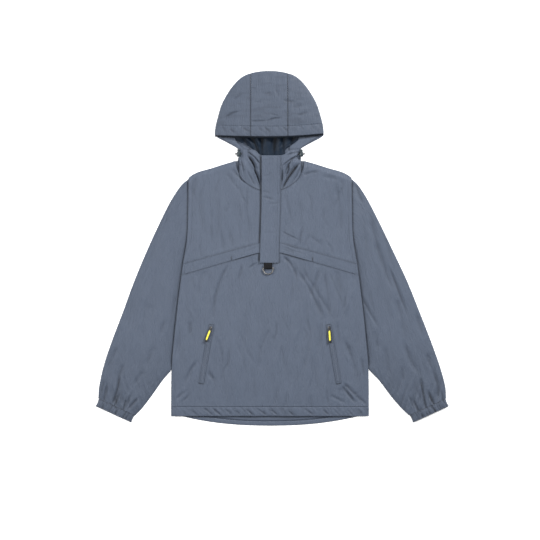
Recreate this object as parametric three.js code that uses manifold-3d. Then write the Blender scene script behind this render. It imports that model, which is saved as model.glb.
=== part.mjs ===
// A hooded anorak pullover laid flat on its back, in millimetres.
// +X is to the viewer's right, +Y runs from the hem to the hood and +Z points up from the surface it lies on.
// The origin is on that surface, on the centre line, just below the end of the front placket.
// Every panel of cloth is its own closed wall. Panels lie on each other, with a small gap where a seam joins them.
import * as THREE from "three";
import { mergeVertices } from "three/addons/utils/BufferGeometryUtils.js";
import Module from "manifold-3d";

// Cloth and seams
const WALL = 1.3;
const SEAM = 0.3;
const EDGE_TOP = 2 * WALL + SEAM; // top of a front edge that rests on the back panel

// Levels of the front, measured to the outer face of the cloth
const LOWER_TOP = 6.4;
const YOKE_TOP = 7.2;
const FLAP_WALL = 1.1;
const EDGE_ROLL = 16; // how far in from an edge the cloth reaches its level

// Body: half width against height, from the shoulder tip to the hem
const BODY_SIDE = [
  { y: -395, half: 267 },
  { y: -262, half: 265.5 },
  { y: -154, half: 256 },
  { y: -81, half: 248 },
  { y: 5, half: 237 },
  { y: 89, half: 224 },
  { y: 175, half: 221 },
  { y: 250, half: 220 },
];
const SHOULDER = [
  { x: 80, y: 301 },
  { x: 125, y: 288 },
  { x: 158, y: 277.5 },
  { x: 190, y: 268.5 },
  { x: 208, y: 260.5 },
  { x: 221, y: 251 },
];
const HEM_STITCH_Y = -366;
const HEM_EDGE_Y = -391.5;
const TAIL_DROP = 26; // the back hem hangs this much lower at its middle
const TAIL_HALF = 240;
const TAIL_POWER = 2.3;
const BACK_NECK_Y = 297;
const SLEEVE_TUCK = 7; // how far the front overhangs the sleeve beside it
const GAP_POINT_Y = -262; // where the sleeve parts from the body

// Neck seam, a half ellipse, and the hood's throat above it
const NECK = { half: 92, drop: 82, y: 296 };
const THROAT_RISE = 7;
const THROAT_SIDE_DEG = 66;
const THROAT_EDGE = {
  left: [
    { x: 0, y: 311 },
    { x: 23, y: 312 },
    { x: 30, y: 316 },
    { x: 40, y: 325 },
    { x: 54, y: 328.5 },
    { x: 90, y: 329 },
  ],
  right: [
    { x: 0, y: 311 },
    { x: 30, y: 312 },
    { x: 41, y: 316 },
    { x: 50, y: 325 },
    { x: 58, y: 328.5 },
    { x: 90, y: 329 },
  ],
};

// Front opening
const PLACKET = { left: -25, right: 27, low: 21.6, high: 311, wall: 2.0 };
const PLACKET_LEVEL = [
  { y: 15, z: 11.0 },
  { y: 60, z: 10.3 },
  { y: 200, z: 10.4 },
  { y: 235, z: 12.0 },
  { y: 262, z: 14.2 },
  { y: 288, z: 16.6 },
  { y: 315, z: 18.2 },
];
const FRONT_GAP = 3.2; // half the space between the two fronts, where the zip's chain lies
const ZIP = { low: 71, tapeHalf: 12, tape: 0.8, chainHalf: 2.7, chain: 1.9 };

// Chest flaps: straight lines falling from the placket to the armholes
const FLAP_TOP = { y: 75.6, slope: -0.276, from: 27 };
const FLAP_LOW = { y: 49.5, slope: -0.289, from: 30 };
const FLAP_TUCK = 6;

// Hood
const HOOD = { x: -2, y: 366, height: 19, round: 2.2, strip: 50, sag: 4, liftRight: 5 };
const HOOD_OUTLINE = [
  { deg: 0, r: 147 },
  { deg: 20, r: 147.5 },
  { deg: 35, r: 154 },
  { deg: 45, r: 159.5 },
  { deg: 52, r: 164.5 },
  { deg: 59, r: 170 },
  { deg: 66, r: 174.5 },
  { deg: 73, r: 175 },
  { deg: 90, r: 174 },
];
const HOOD_LOWER = [
  { y: 298, half: 86 },
  { y: 306, half: 83 },
  { y: 324, half: 82 },
  { y: 331, half: 86.5 },
  { y: 341, half: 103.5 },
  { y: 350, half: 120.5 },
  { y: 358, half: 136 },
  { y: 366, half: 147 },
];
const FACING = { low: 330, level: 5.2, lift: 1.0, wall: 1.1, inset: 1.5, tuck: 3 };
const FACING_INNER = {
  left: [
    { y: 330, x: 69 },
    { y: 346, x: 86 },
    { y: 356, x: 92 },
    { y: 366, x: 97 },
  ],
  right: [
    { y: 330, x: 55 },
    { y: 336, x: 56 },
    { y: 348, x: 73 },
    { y: 353, x: 78 },
    { y: 366, x: 82 },
  ],
};

// Sleeves: each row is a section across the sleeve, from its outer fold to its inner fold
const SLEEVE = [
  { outX: 218, outY: 250, inX: 225.5, inY: 40, thick: 4.3 },
  { outX: 240, outY: 231, inX: 230.8, inY: 2, thick: 5.4 },
  { outX: 268.5, outY: 188, inX: 238.2, inY: -54, thick: 6.0 },
  { outX: 303, outY: 119, inX: 244.6, inY: -108, thick: 6.2 },
  { outX: 336, outY: 46, inX: 251.0, inY: -162, thick: 6.2 },
  { outX: 367.5, outY: -30, inX: 257.0, inY: -216, thick: 6.2 },
  { outX: 399, outY: -116, inX: 262.6, inY: -260, thick: 6.2 },
  { outX: 425, outY: -184, inX: 291, inY: -297, thick: 6.2 },
  { outX: 447.5, outY: -251, inX: 320, inY: -338, thick: 6.2 },
  { outX: 460.5, outY: -308, inX: 345.5, inY: -371, thick: 6.3 },
  { outX: 463.5, outY: -343.5, inX: 363, inY: -389.5, thick: 6.6 },
];
// How much further out the right sleeve's two folds lie than the table says
const SWING = [
  { station: 0, out: 0, in: 0 },
  { station: 2, out: -2.5, in: 0 },
  { station: 3, out: -2, in: 0 },
  { station: 4, out: 0, in: 0 },
  { station: 5, out: 4, in: 0.4 },
  { station: 6, out: 7, in: 1 },
  { station: 7, out: 7.5, in: 4.7 },
  { station: 8, out: 9, in: 6.6 },
  { station: 9, out: 12, in: 9.8 },
  { station: 10, out: 12, in: 12 },
];
const GATHERS = 7;
const GATHER_DEPTH = 1.5;
const CUFF = { length: 22, thick: 7.4, waves: 13, depth: 0.7 };

// Hem puckers, across the front casing
const HEM_WAVES = 24;
const HEM_DEPTH = 0.7;

// Slanted pockets
const POCKET = { topX: 158, topY: -146, lowX: 185.3, lowY: -302.5, width: 13, lip: 3.2, wall: 1.2 };
const TAPE_WALL = 0.8;
const SLIDER = { width: 7, length: 9, wall: 2.2 };
const BRIDGE = { width: 1.6, half: 2.7, post: 0.9, high: 3.3, sunk: 0.4 };
const PULL = { width: 8.4, length: 40, wall: 2.2, neck: 6, eye: 5.5, bar: 1.3, slot: 2.6 };
const PULL_TURN = { left: -11, right: -6.5 }; // each pull's swing away from its zip, in degrees
const INLAY = { width: 4.6, length: 27, wall: 0.5 };
const HINGE_RISE = 1.35; // the pull's hinge line above the slider's top

const ZIP_LEAN = 9.9; // lean of both pocket zips, outwards at the hem, in degrees

// D-ring on its webbing loop, below the placket
const RING = { x: -5, y: 8.6, z: 9.9, half: 15.2, wire: 3.2, side: 3.4, bevel: 0.8 };
const WEBBING = { half: 11, bore: 2.2, wrap: 3.1, tail: 23, low: LOWER_TOP + SEAM, high: 8.4 };

// Cord locks at the hood's drawcord
const LOCK = { x: 84, y: 315.5, z: 11.6, radius: 5.8, length: 16, button: 4.2, stem: 4, bore: 2.9 };
const CORD = { radius: 1.15, spread: 1.5, reach: 3.2, inner: 76, eyelet: 10.7 };

const COLORS = { shell: 0x6b7687, lining: 0x2e3846, black: 0x1d1e20, metal: 0x55544f, yellow: 0xe8e04a, lock: 0x2d4550 };

const wasm = await Module();
wasm.setup();
const anorak = new THREE.Group();

// A smooth curve through a table's rows: the value in column `to` at a place along column `from`.
function curve(rows, from, to) {
  const slope = (i) => {
    const a = rows[Math.max(i - 1, 0)];
    const b = rows[Math.min(i + 1, rows.length - 1)];
    return (b[to] - a[to]) / (b[from] - a[from]);
  };
  return (at) => {
    const v = Math.min(Math.max(at, rows[0][from]), rows.at(-1)[from]);
    let i = 0;
    while (i < rows.length - 2 && v > rows[i + 1][from]) i += 1;
    const span = rows[i + 1][from] - rows[i][from];
    const t = (v - rows[i][from]) / span;
    const startShare = 2 * t ** 3 - 3 * t ** 2 + 1;
    const rise = (t ** 3 - 2 * t ** 2 + t) * slope(i) + (t ** 3 - t ** 2) * slope(i + 1);
    return startShare * rows[i][to] + (1 - startShare) * rows[i + 1][to] + span * rise;
  };
}

function smooth(low, high, v) {
  const t = Math.min(Math.max((v - low) / (high - low), 0), 1);
  return t * t * (3 - 2 * t);
}

const spread = (from, to, count) => Array.from({ length: count }, (_, i) => from + ((to - from) * i) / (count - 1));
const signOf = (side) => (side === "left" ? -1 : 1);

function material(color, roughness = 0.8, metalness = 0) {
  return new THREE.MeshStandardMaterial({ color, roughness, metalness });
}

const shell = material(COLORS.shell);
const lining = material(COLORS.lining);
const black = material(COLORS.black, 0.6);

function addPiece(name, geometry, finish) {
  const mesh = new THREE.Mesh(geometry, finish);
  mesh.name = name;
  anorak.add(mesh);
  return mesh;
}

// A closed wall between two grids of points. A looped wall is a tube: its columns join up.
function wall(outer, inner, looped = false) {
  const rows = outer.length;
  const cols = outer[0].length;
  const points = [...outer.flat(), ...inner.flat()];
  const faces = [];
  const quad = (a, b, c, d) => faces.push(a, b, c, a, c, d);
  const at = (i, j, layer) => layer * rows * cols + i * cols + (j % cols);
  const across = looped ? cols : cols - 1;
  for (let i = 0; i < rows - 1; i += 1) {
    for (let j = 0; j < across; j += 1) {
      quad(at(i, j, 0), at(i, j + 1, 0), at(i + 1, j + 1, 0), at(i + 1, j, 0));
      quad(at(i, j, 1), at(i + 1, j, 1), at(i + 1, j + 1, 1), at(i, j + 1, 1));
    }
  }
  for (let j = 0; j < across; j += 1) {
    quad(at(0, j, 0), at(0, j, 1), at(0, j + 1, 1), at(0, j + 1, 0));
    quad(at(rows - 1, j, 0), at(rows - 1, j + 1, 0), at(rows - 1, j + 1, 1), at(rows - 1, j, 1));
  }
  for (let i = 0; i < rows - 1 && !looped; i += 1) {
    quad(at(i, 0, 0), at(i + 1, 0, 0), at(i + 1, 0, 1), at(i, 0, 1));
    quad(at(i, cols - 1, 0), at(i, cols - 1, 1), at(i + 1, cols - 1, 1), at(i + 1, cols - 1, 0));
  }
  return facingOut(points, faces);
}

// The geometry of a closed surface, turned round if its faces point inwards.
function facingOut(points, faces) {
  let volume = 0;
  const cross = new THREE.Vector3();
  for (let i = 0; i < faces.length; i += 3) {
    const [a, b, c] = [0, 1, 2].map((k) => points[faces[i + k]]);
    volume += a.dot(cross.crossVectors(b, c));
  }
  const index = volume < 0 ? faces.slice().reverse() : faces;
  return new THREE.BufferGeometry().setFromPoints(points).setIndex(index);
}

// A flat-lying panel: its outer points are given, and its inner ones lie straight below them.
function panel(rows, thick) {
  const below = rows.map((row) => row.map((p) => new THREE.Vector3(p.x, p.y, p.z - thick)));
  return wall(rows, below);
}

// Outlines worked out from the tables
const sideOf = curve(BODY_SIDE, "y", "half");
const shoulderOf = curve(SHOULDER, "x", "y");
const placketLevel = curve(PLACKET_LEVEL, "y", "z");
const hoodRadius = curve(HOOD_OUTLINE, "deg", "r");
const hoodLower = curve(HOOD_LOWER, "y", "half");
const throatEdge = {
  left: curve(THROAT_EDGE.left, "x", "y"),
  right: curve(THROAT_EDGE.right, "x", "y"),
};
const flapLine = (line, x) => line.y + line.slope * (Math.max(Math.abs(x), line.from) - line.from);
const tailOf = (x) => HEM_EDGE_Y - TAIL_DROP * (1 - Math.min(Math.abs(x) / TAIL_HALF, 1) ** TAIL_POWER);

function neckPoint(deg, inset) {
  const turn = THREE.MathUtils.degToRad(deg);
  return {
    x: (NECK.half - inset) * Math.sin(turn),
    y: NECK.y - (NECK.drop - inset) * Math.cos(turn),
  };
}

// The largest folds. Each row is a soft trough (or ridge, where depth is negative) from one point to another.
const FOLDS = [
  { x0: 28, y0: 30, x1: 66, y1: -75, width: 15, depth: 1.3 },
  { x0: -40, y0: 12, x1: -100, y1: -90, width: 16, depth: 0.9 },
  { x0: 200, y0: -120, x1: 214, y1: -290, width: 16, depth: 1.2 },
  { x0: 196, y0: -318, x1: 244, y1: -352, width: 12, depth: 1.2 },
  { x0: -205, y0: -240, x1: -240, y1: -320, width: 16, depth: 1.2 },
  { x0: 100, y0: -20, x1: 140, y1: -130, width: 16, depth: 0.9 },
  { x0: -120, y0: -140, x1: -96, y1: -330, width: 22, depth: -0.8 },
  { x0: 56, y0: -60, x1: 52, y1: -340, width: 20, depth: -0.6 },
  { x0: 150, y0: 230, x1: 176, y1: 110, width: 18, depth: 0.9 },
  { x0: -150, y0: 210, x1: -164, y1: 100, width: 20, depth: 0.7 },
];

const THROAT_FOLDS = [
  { x0: -66, y0: 312, x1: -33, y1: 226, width: 8, depth: 2.6 },
  { x0: -44, y0: 312, x1: -30, y1: 262, width: 6, depth: -0.8 },
  { x0: 57, y0: 280, x1: 35, y1: 220, width: 8, depth: 2.4 },
  { x0: 76, y0: 316, x1: 44, y1: 280, width: 6, depth: 1.2 },
];
const HOOD_FOLDS = [
  { x0: -47, y0: 404, x1: 28, y1: 409, width: 7, depth: 1.1 },
  { x0: -115, y0: 415, x1: -78, y1: 431, width: 9, depth: 1.0 },
  { x0: -96, y0: 464, x1: -84, y1: 472, width: 9, depth: 0.9 },
  { x0: 60, y0: 470, x1: 96, y1: 452, width: 14, depth: 0.7 },
];

function foldsAt(x, y, folds = FOLDS) {
  let lift = 0;
  for (const f of folds) {
    const dx = f.x1 - f.x0;
    const dy = f.y1 - f.y0;
    const along = ((x - f.x0) * dx + (y - f.y0) * dy) / (dx * dx + dy * dy);
    const near = Math.min(Math.max(along, 0), 1);
    const off = Math.hypot(x - f.x0 - near * dx, y - f.y0 - near * dy) / f.width;
    lift -= f.depth * Math.exp(-off * off);
  }
  return lift;
}

// 0 where a pocket or the front opening lies on the panel, 1 clear of them
function clearOfTrim(x, y) {
  const pocketX = POCKET.topX + ((POCKET.topY - y) / (POCKET.topY - POCKET.lowY)) * (POCKET.lowX - POCKET.topX);
  const across = Math.abs(Math.abs(x) - pocketX);
  const beyond = Math.max(y - POCKET.topY, POCKET.lowY - y, 0);
  const pocket = smooth(14, 30, Math.hypot(across, beyond));
  const flap = smooth(4, 20, Math.max(y - flapLine(FLAP_TOP, x), flapLine(FLAP_LOW, x) - y));
  const opening = Math.max(smooth(34, 48, Math.abs(x)), smooth(24, 44, -20 - y));
  return pocket * flap * opening;
}

// Height of the front's outer face, with its edges rolled down to the back panel
function frontTop(x, y, level) {
  const fromSide = sideOf(y) - Math.abs(x);
  const fromShoulder = shoulderOf(Math.abs(x)) - y;
  const free = smooth(GAP_POINT_Y + 25, GAP_POINT_Y - 25, y);
  const sideDrop = free * (1 - smooth(0, EDGE_ROLL, fromSide));
  const shoulderDrop = 1 - smooth(0, EDGE_ROLL, fromShoulder);
  const drop = 1 - (1 - sideDrop) * (1 - shoulderDrop);
  const lift = foldsAt(x, y) * clearOfTrim(x, y) * smooth(2, 30, fromSide) * smooth(2, 30, fromShoulder);
  return level - (level - EDGE_TOP) * drop + lift * (1 - drop);
}

// Back panel, flat on the surface, with its long tail
function addBack() {
  const inset = SLEEVE_TUCK + 2 * SEAM;
  const half = (y) => sideOf(y) - inset * smooth(GAP_POINT_Y - 40, GAP_POINT_Y - 8, y);
  const columns = spread(-1, 1, 15);
  const rows = spread(0, 1, 12).map((v) =>
    columns.map((u) => {
      const nominal = Math.abs(u) * 213;
      const top = nominal < NECK.half ? BACK_NECK_Y - SEAM : shoulderOf(nominal);
      const low = tailOf(u * 267) + 12;
      const y = low + v * (top - low);
      return new THREE.Vector3(u * half(y), y, WALL);
    }),
  );
  addPiece("back_body", panel(rows, WALL), shell);
  const hem = [0, 12 - SEAM].map((up) =>
    columns.map((u) => new THREE.Vector3(u * 267, tailOf(u * 267) + up, WALL)),
  );
  addPiece("hem_back", panel(hem, WALL), shell);
}

// Lower front, from under the chest flaps to the hem's stitch line
function addLowerFront() {
  const columns = spread(-1, 1, 27);
  const rows = spread(0, 1, 17).map((v) =>
    columns.map((u) => {
      const top = flapLine(FLAP_TOP, u * 233) - FLAP_TUCK;
      const y = HEM_STITCH_Y + v * (top - HEM_STITCH_Y);
      const x = u * sideOf(y);
      return new THREE.Vector3(x, y, frontTop(x, y, LOWER_TOP));
    }),
  );
  addPiece("front_lower", panel(rows, WALL), shell);
}

// Hem casing of the front, drawn into small slanted puckers
function addFrontHem() {
  const columns = spread(-1, 1, 2 * HEM_WAVES + 1);
  const rows = spread(HEM_EDGE_Y, HEM_STITCH_Y - SEAM, 3).map((y, i) =>
    columns.map((u) => {
      const x = u * sideOf(y);
      const pucker = HEM_DEPTH * Math.cos(Math.PI * (HEM_WAVES * u + i)) * (1 - Math.abs(u)) * (i === 2 ? 0 : 1);
      return new THREE.Vector3(x, y, frontTop(x, y, LOWER_TOP) + pucker);
    }),
  );
  addPiece("hem_front", panel(rows, WALL), shell);
}

// Upper front of one side, between placket, neck seam, shoulder, armhole and chest flap
function addYoke(side) {
  const sign = signOf(side);
  const start = THREE.MathUtils.radToDeg(Math.asin(FRONT_GAP / NECK.half));
  const columns = [
    ...spread(start, 90, 9).map((deg) => neckPoint(deg, 0)),
    ...spread(NECK.half, 220, 8).slice(1).map((x) => ({ x, y: shoulderOf(x) })),
  ];
  const rows = spread(0, 1, 11).map((v) =>
    columns.map((top) => {
      const share = (top.x - FRONT_GAP) / (220 - FRONT_GAP);
      const low = flapLine(FLAP_TOP, top.x);
      const y = low + v * (top.y - low);
      const x = sign * (FRONT_GAP + share * (sideOf(y) - FRONT_GAP));
      const level = YOKE_TOP + 0.5 * (1 - smooth(0, 30, y - low));
      return new THREE.Vector3(x, y, frontTop(x, y, level));
    }),
  );
  addPiece(`yoke_${side}`, panel(rows, WALL), shell);
}

// Chest flap of one side, lying on the lower front and sewn under the yoke's edge
function addChestFlap(side) {
  const sign = signOf(side);
  const columns = spread(18, 231, 12);
  const rows = [0, 0.5, 1].map((v) =>
    columns.map((x) => {
      const low = flapLine(FLAP_LOW, x);
      const y = low + v * (flapLine(FLAP_TOP, x) - SEAM - low);
      return new THREE.Vector3(sign * x, y, LOWER_TOP + SEAM + FLAP_WALL);
    }),
  );
  addPiece(`chest_flap_${side}`, panel(rows, FLAP_WALL), shell);
}

// Storm placket over the front opening
function addPlacket() {
  const columns = [PLACKET.left, -12, 0, 14, PLACKET.right];
  const rows = spread(PLACKET.low, PLACKET.high, 16).map((y) =>
    columns.map((x) => new THREE.Vector3(x, y, placketLevel(y))),
  );
  addPiece("placket", panel(rows, PLACKET.wall), shell);
}

// Zip under the placket: a tape with its chain standing between the two fronts
function addFrontZip() {
  const { tapeHalf, tape, chainHalf, chain } = ZIP;
  const section = [
    [-tapeHalf, 0],
    [tapeHalf, 0],
    [tapeHalf, tape],
    [chainHalf, tape],
    [chainHalf, tape + chain],
    [-chainHalf, tape + chain],
    [-chainHalf, tape],
    [-tapeHalf, tape],
  ];
  const rows = spread(ZIP.low, 300, 13).map((y) => {
    const base = throatTop(0, y) - WALL - SEAM - tape;
    return section.map(([x, z]) => new THREE.Vector3(x, y, base + z));
  });
  const stations = rows.length;
  const sides = section.length;
  const faces = [];
  for (let i = 0; i < stations - 1; i += 1) {
    for (let j = 0; j < sides; j += 1) {
      const next = (j + 1) % sides;
      faces.push(i * sides + j, i * sides + next, (i + 1) * sides + next);
      faces.push(i * sides + j, (i + 1) * sides + next, (i + 1) * sides + j);
    }
  }
  const cap = THREE.ShapeUtils.triangulateShape(section.map(([x, z]) => new THREE.Vector2(x, z)), []);
  for (const [a, b, c] of cap) {
    faces.push(c, b, a);
    faces.push((stations - 1) * sides + a, (stations - 1) * sides + b, (stations - 1) * sides + c);
  }
  addPiece("front_zip", facingOut(rows.flat(), faces), black);
}

// Height of the throat's outer face: it climbs from the neck seam to the edge of the face opening
function throatTop(x, y) {
  const share = smooth(NECK.y - NECK.drop, NECK.y + 12, y);
  const climb = YOKE_TOP + THROAT_RISE * share;
  const outward = Math.min(Math.abs(x) / 86, 1);
  return EDGE_TOP + (climb - EDGE_TOP) * (1 - outward ** 5);
}

// Folds of the throat, kept clear of the placket and of both edges
function throatFold(x, y, share) {
  const inside = smooth(24, 34, Math.abs(x)) * smooth(83, 70, Math.abs(x)) * smooth(0, 0.2, share);
  return inside * foldsAt(x, y, THROAT_FOLDS);
}

function addThroat(side) {
  const sign = signOf(side);
  const start = THREE.MathUtils.radToDeg(Math.asin(FRONT_GAP / NECK.half));
  const columns = spread(start, THROAT_SIDE_DEG, 13).map((deg) => neckPoint(deg, 2 * SEAM));
  const rows = spread(0, 1, 9).map((v) =>
    columns.map((low) => {
      const top = throatEdge[side](low.x);
      const y = low.y + v * (top - low.y);
      const fold = throatFold(sign * low.x, y, v);
      return new THREE.Vector3(sign * low.x, y, throatTop(low.x, y) + fold);
    }),
  );
  addPiece(`hood_throat_${side}`, panel(rows, WALL), shell);
}

// Half width of the hood at a height: its round outline above the brim, its folded edge below
function hoodHalf(y) {
  if (y <= HOOD.y) return hoodLower(y);
  let low = 0;
  let high = 80;
  for (let i = 0; i < 30; i += 1) {
    const mid = (low + high) / 2;
    const reach = hoodRadius(mid) * Math.sin(THREE.MathUtils.degToRad(mid));
    if (reach < y - HOOD.y) low = mid;
    else high = mid;
  }
  return hoodRadius(low) * Math.cos(THREE.MathUtils.degToRad(low));
}

function hoodCrown(x) {
  const deg = THREE.MathUtils.radToDeg(Math.acos(Math.min(Math.abs(x) / 175, 1)));
  return HOOD.y + Math.sqrt(hoodRadius(deg) ** 2 - x * x);
}

const brimOf = (x) => HOOD.y - HOOD.sag * (1 - (x / 147) ** 2) + HOOD.liftRight * (Math.max(x, 0) / 147) ** 2;

// Height of the hood's front layer, a low dome that rolls down to the back layer at its outline
function hoodTop(x, y) {
  const up = Math.max(y - HOOD.y, 0);
  const deg = THREE.MathUtils.radToDeg(Math.atan2(up, Math.abs(x)));
  const share = Math.min(Math.hypot(x, up) / hoodRadius(Math.min(deg, 90)), 1);
  const dome = EDGE_TOP + (HOOD.height - EDGE_TOP) * (1 - share ** HOOD.round) ** (1 / HOOD.round);
  return dome + foldsAt(x, y, HOOD_FOLDS) * smooth(1, 0.85, share);
}

const hoodPoint = (x, y, z) => new THREE.Vector3(x + HOOD.x, y, z);
const HOOD_TIP_Y = hoodCrown(HOOD.strip + 1.5);

function addHoodFront() {
  const half = HOOD.strip - SEAM / 2;
  const shares = [0, 0.15, 0.3, 0.45, 0.6, 0.74, 0.86, 0.94, 0.98, 1];
  const strip = shares.map((v) =>
    spread(-half, half, 7).map((x) => {
      const y = brimOf(x) + v * (hoodCrown(x) - brimOf(x));
      return hoodPoint(x, y, hoodTop(x, y));
    }),
  );
  addPiece("hood_strip_front", panel(strip, WALL), shell);
  for (const side of ["left", "right"]) {
    const sign = signOf(side);
    const start = HOOD.strip + SEAM / 2;
    const rows = spread(0, 90, 11).map((deg) =>
      shares.map((u) => {
        const v = Math.sin(THREE.MathUtils.degToRad(deg));
        const level = HOOD.y + v * (HOOD_TIP_Y - HOOD.y);
        const x = sign * (start + u * (hoodHalf(level) - start));
        const y = level + (brimOf(x) - HOOD.y) * (1 - v) ** 2;
        return hoodPoint(x, y, hoodTop(x, y));
      }),
    );
    addPiece(`hood_side_${side}_front`, panel(rows, WALL), shell);
  }
}

function addHoodBack() {
  const half = HOOD.strip - SEAM / 2;
  const strip = [0, 0.3, 0.6, 1].map((v) =>
    spread(-half, half, 7).map((x) => {
      const y = BACK_NECK_Y + SEAM + v * (hoodCrown(x) - BACK_NECK_Y - SEAM);
      return hoodPoint(x, y, WALL);
    }),
  );
  addPiece("hood_strip_back", panel(strip, WALL), shell);
  for (const side of ["left", "right"]) {
    const start = HOOD.strip + SEAM / 2;
    const rise = spread(0, 90, 11).map((deg) => Math.sin(THREE.MathUtils.degToRad(deg)));
    const levels = [
      ...spread(BACK_NECK_Y + SEAM, HOOD.y, 8),
      ...rise.slice(1).map((v) => HOOD.y + v * (HOOD_TIP_Y - HOOD.y)),
    ];
    const rows = levels.map((y) =>
      [0, 0.5, 1].map((u) => hoodPoint(signOf(side) * (start + u * (hoodHalf(y) - start)), y, WALL)),
    );
    addPiece(`hood_side_${side}_back`, panel(rows, WALL), shell);
  }
}

// Dark lining on the hood's back layer, with the upright folds that show in the face opening
function addHoodLining() {
  const levels = spread(BACK_NECK_Y + 5, HOOD.y + 100, 7);
  const rows = levels.map((y) => {
    const half = hoodHalf(y) - 30 * smooth(HOOD.y + 30, HOOD.y - 30, y) * 0.9 - 12;
    return spread(-1, 1, 25).map((u) => {
      const fold = Math.cos(Math.PI * 6 * u) * (1 - u * u) * smooth(HOOD.y + 40, HOOD.y - 20, y);
      return hoodPoint(u * half, y, WALL + SEAM + 1.0 + 1.1 * (1 + fold));
    });
  });
  addPiece("hood_lining", panel(rows, 1.0), lining);
}

// Turned hem of the face opening, seen from inside along the hood's folded lower edge
function addFacing(side) {
  const sign = signOf(side);
  const { low, level, lift, inset, tuck } = FACING;
  const innerOf = curve(FACING_INNER[side], "y", "x");
  const rows = spread(0, 1, 9).map((v) => {
    const height = low + v * (HOOD.y - low);
    const outer = hoodHalf(height) - inset * (1 + 3 * v);
    return spread(0, 1, 4).map((u) => {
      const x = sign * (outer + u * (innerOf(height) - outer));
      const y = height + v * (brimOf(x) + tuck - HOOD.y);
      return hoodPoint(x, y, level + lift * u + 0.6 * Math.sin(Math.PI * u));
    });
  });
  addPiece(`hood_facing_${side}`, panel(rows, FACING.wall), shell);
}

// A flattened tube's section from its outer fold to its inner fold: flat below, rounded above
const TOP_STEPS = 22;
const LOW_STEPS = 8;
function tubeSection(row, inset, ripple) {
  const span = Math.hypot(row.inX - row.outX, row.inY - row.outY);
  const middle = span / 2;
  const half = middle - 1.6 * inset;
  const height = row.thick - 2 * inset;
  const place = (across, z) => {
    const t = across / span;
    return new THREE.Vector3(row.outX + t * (row.inX - row.outX), row.outY + t * (row.inY - row.outY), z);
  };
  const top = spread(-90, 90, TOP_STEPS + 1).map((deg) => {
    const s = Math.sin(THREE.MathUtils.degToRad(deg));
    const round = (1 - Math.abs(s) ** 3.2) ** (1 / 3.2);
    return place(middle + half * s, inset + (height + ripple(s)) * round);
  });
  const low = spread(1, -1, LOW_STEPS + 1)
    .slice(1, -1)
    .map((s) => place(middle + half * s, inset));
  return [...top, ...low];
}

function tube(sections, ripple) {
  const outer = sections.map((row, i) => tubeSection(row, 0, (s) => ripple(s, i)));
  const inner = sections.map((row, i) => tubeSection(row, WALL, (s) => ripple(s, i)));
  return wall(outer, inner, true);
}

function mirrored(row, sign) {
  return { ...row, outX: sign * row.outX, inX: sign * row.inX };
}

function addSleeve(side) {
  const sign = signOf(side);
  const keys = ["outX", "outY", "inX", "inY", "thick"];
  const numbered = SLEEVE.map((row, station) => ({ ...row, station }));
  const tracks = Object.fromEntries(keys.map((key) => [key, curve(numbered, "station", key)]));
  const swing = { out: curve(SWING, "station", "out"), in: curve(SWING, "station", "in") };
  const far = side === "right" ? 1 : 0;
  const stations = [0, 0.5, 1, 2, 3, 4, 5, 6, 7, 8, 8.6, 9.2, 9.6, 10];
  const sections = stations.map((station) => {
    const row = Object.fromEntries(keys.map((key) => [key, tracks[key](station)]));
    row.outX += far * swing.out(station);
    row.inX += far * swing.in(station);
    return mirrored(row, sign);
  });
  const ripple = (s, i) => {
    const near = smooth(7, 10, stations[i]);
    return GATHER_DEPTH * near * Math.cos(Math.PI * GATHERS * s) * (1 - s * s);
  };
  addPiece(`sleeve_${side}`, tube(sections, ripple), shell);
  addCuff(side, sections.at(-1));
}

// Elasticated cuff, carrying on from the sleeve's last section
function addCuff(side, end) {
  const along = new THREE.Vector2(end.inX - end.outX, end.inY - end.outY).normalize();
  const down = new THREE.Vector2(signOf(side) * -along.y, signOf(side) * along.x);
  if (down.y > 0) down.negate();
  const sections = [SEAM + 0.2, CUFF.length * 0.35, CUFF.length * 0.7, CUFF.length].map((far, i) => {
    const draw = [1.5, 3, 3, 2][i];
    return {
      outX: end.outX + down.x * far + along.x * draw,
      outY: end.outY + down.y * far + along.y * draw,
      inX: end.inX + down.x * far - along.x * draw,
      inY: end.inY + down.y * far - along.y * draw,
      thick: [6.6, CUFF.thick, CUFF.thick, 6.4][i],
    };
  });
  const ripple = (s) => CUFF.depth * Math.cos(Math.PI * CUFF.waves * 0.5 * s) * (1 - s * s);
  addPiece(`cuff_${side}`, tube(sections, ripple), shell);
}

// Rectangle with its long side along Y, as a shape
function bar(width, length) {
  const shape = new THREE.Shape();
  shape.moveTo(-width / 2, -length / 2);
  shape.lineTo(width / 2, -length / 2);
  shape.lineTo(width / 2, length / 2);
  shape.lineTo(-width / 2, length / 2);
  shape.closePath();
  return shape;
}

function slab(shape, thick, bevel = 0) {
  return new THREE.ExtrudeGeometry(shape, {
    depth: thick - 2 * bevel,
    bevelEnabled: bevel > 0,
    bevelSize: bevel,
    bevelOffset: -bevel,
    bevelThickness: bevel,
    bevelSegments: 1,
    curveSegments: 6,
  }).translate(0, 0, bevel);
}

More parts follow.
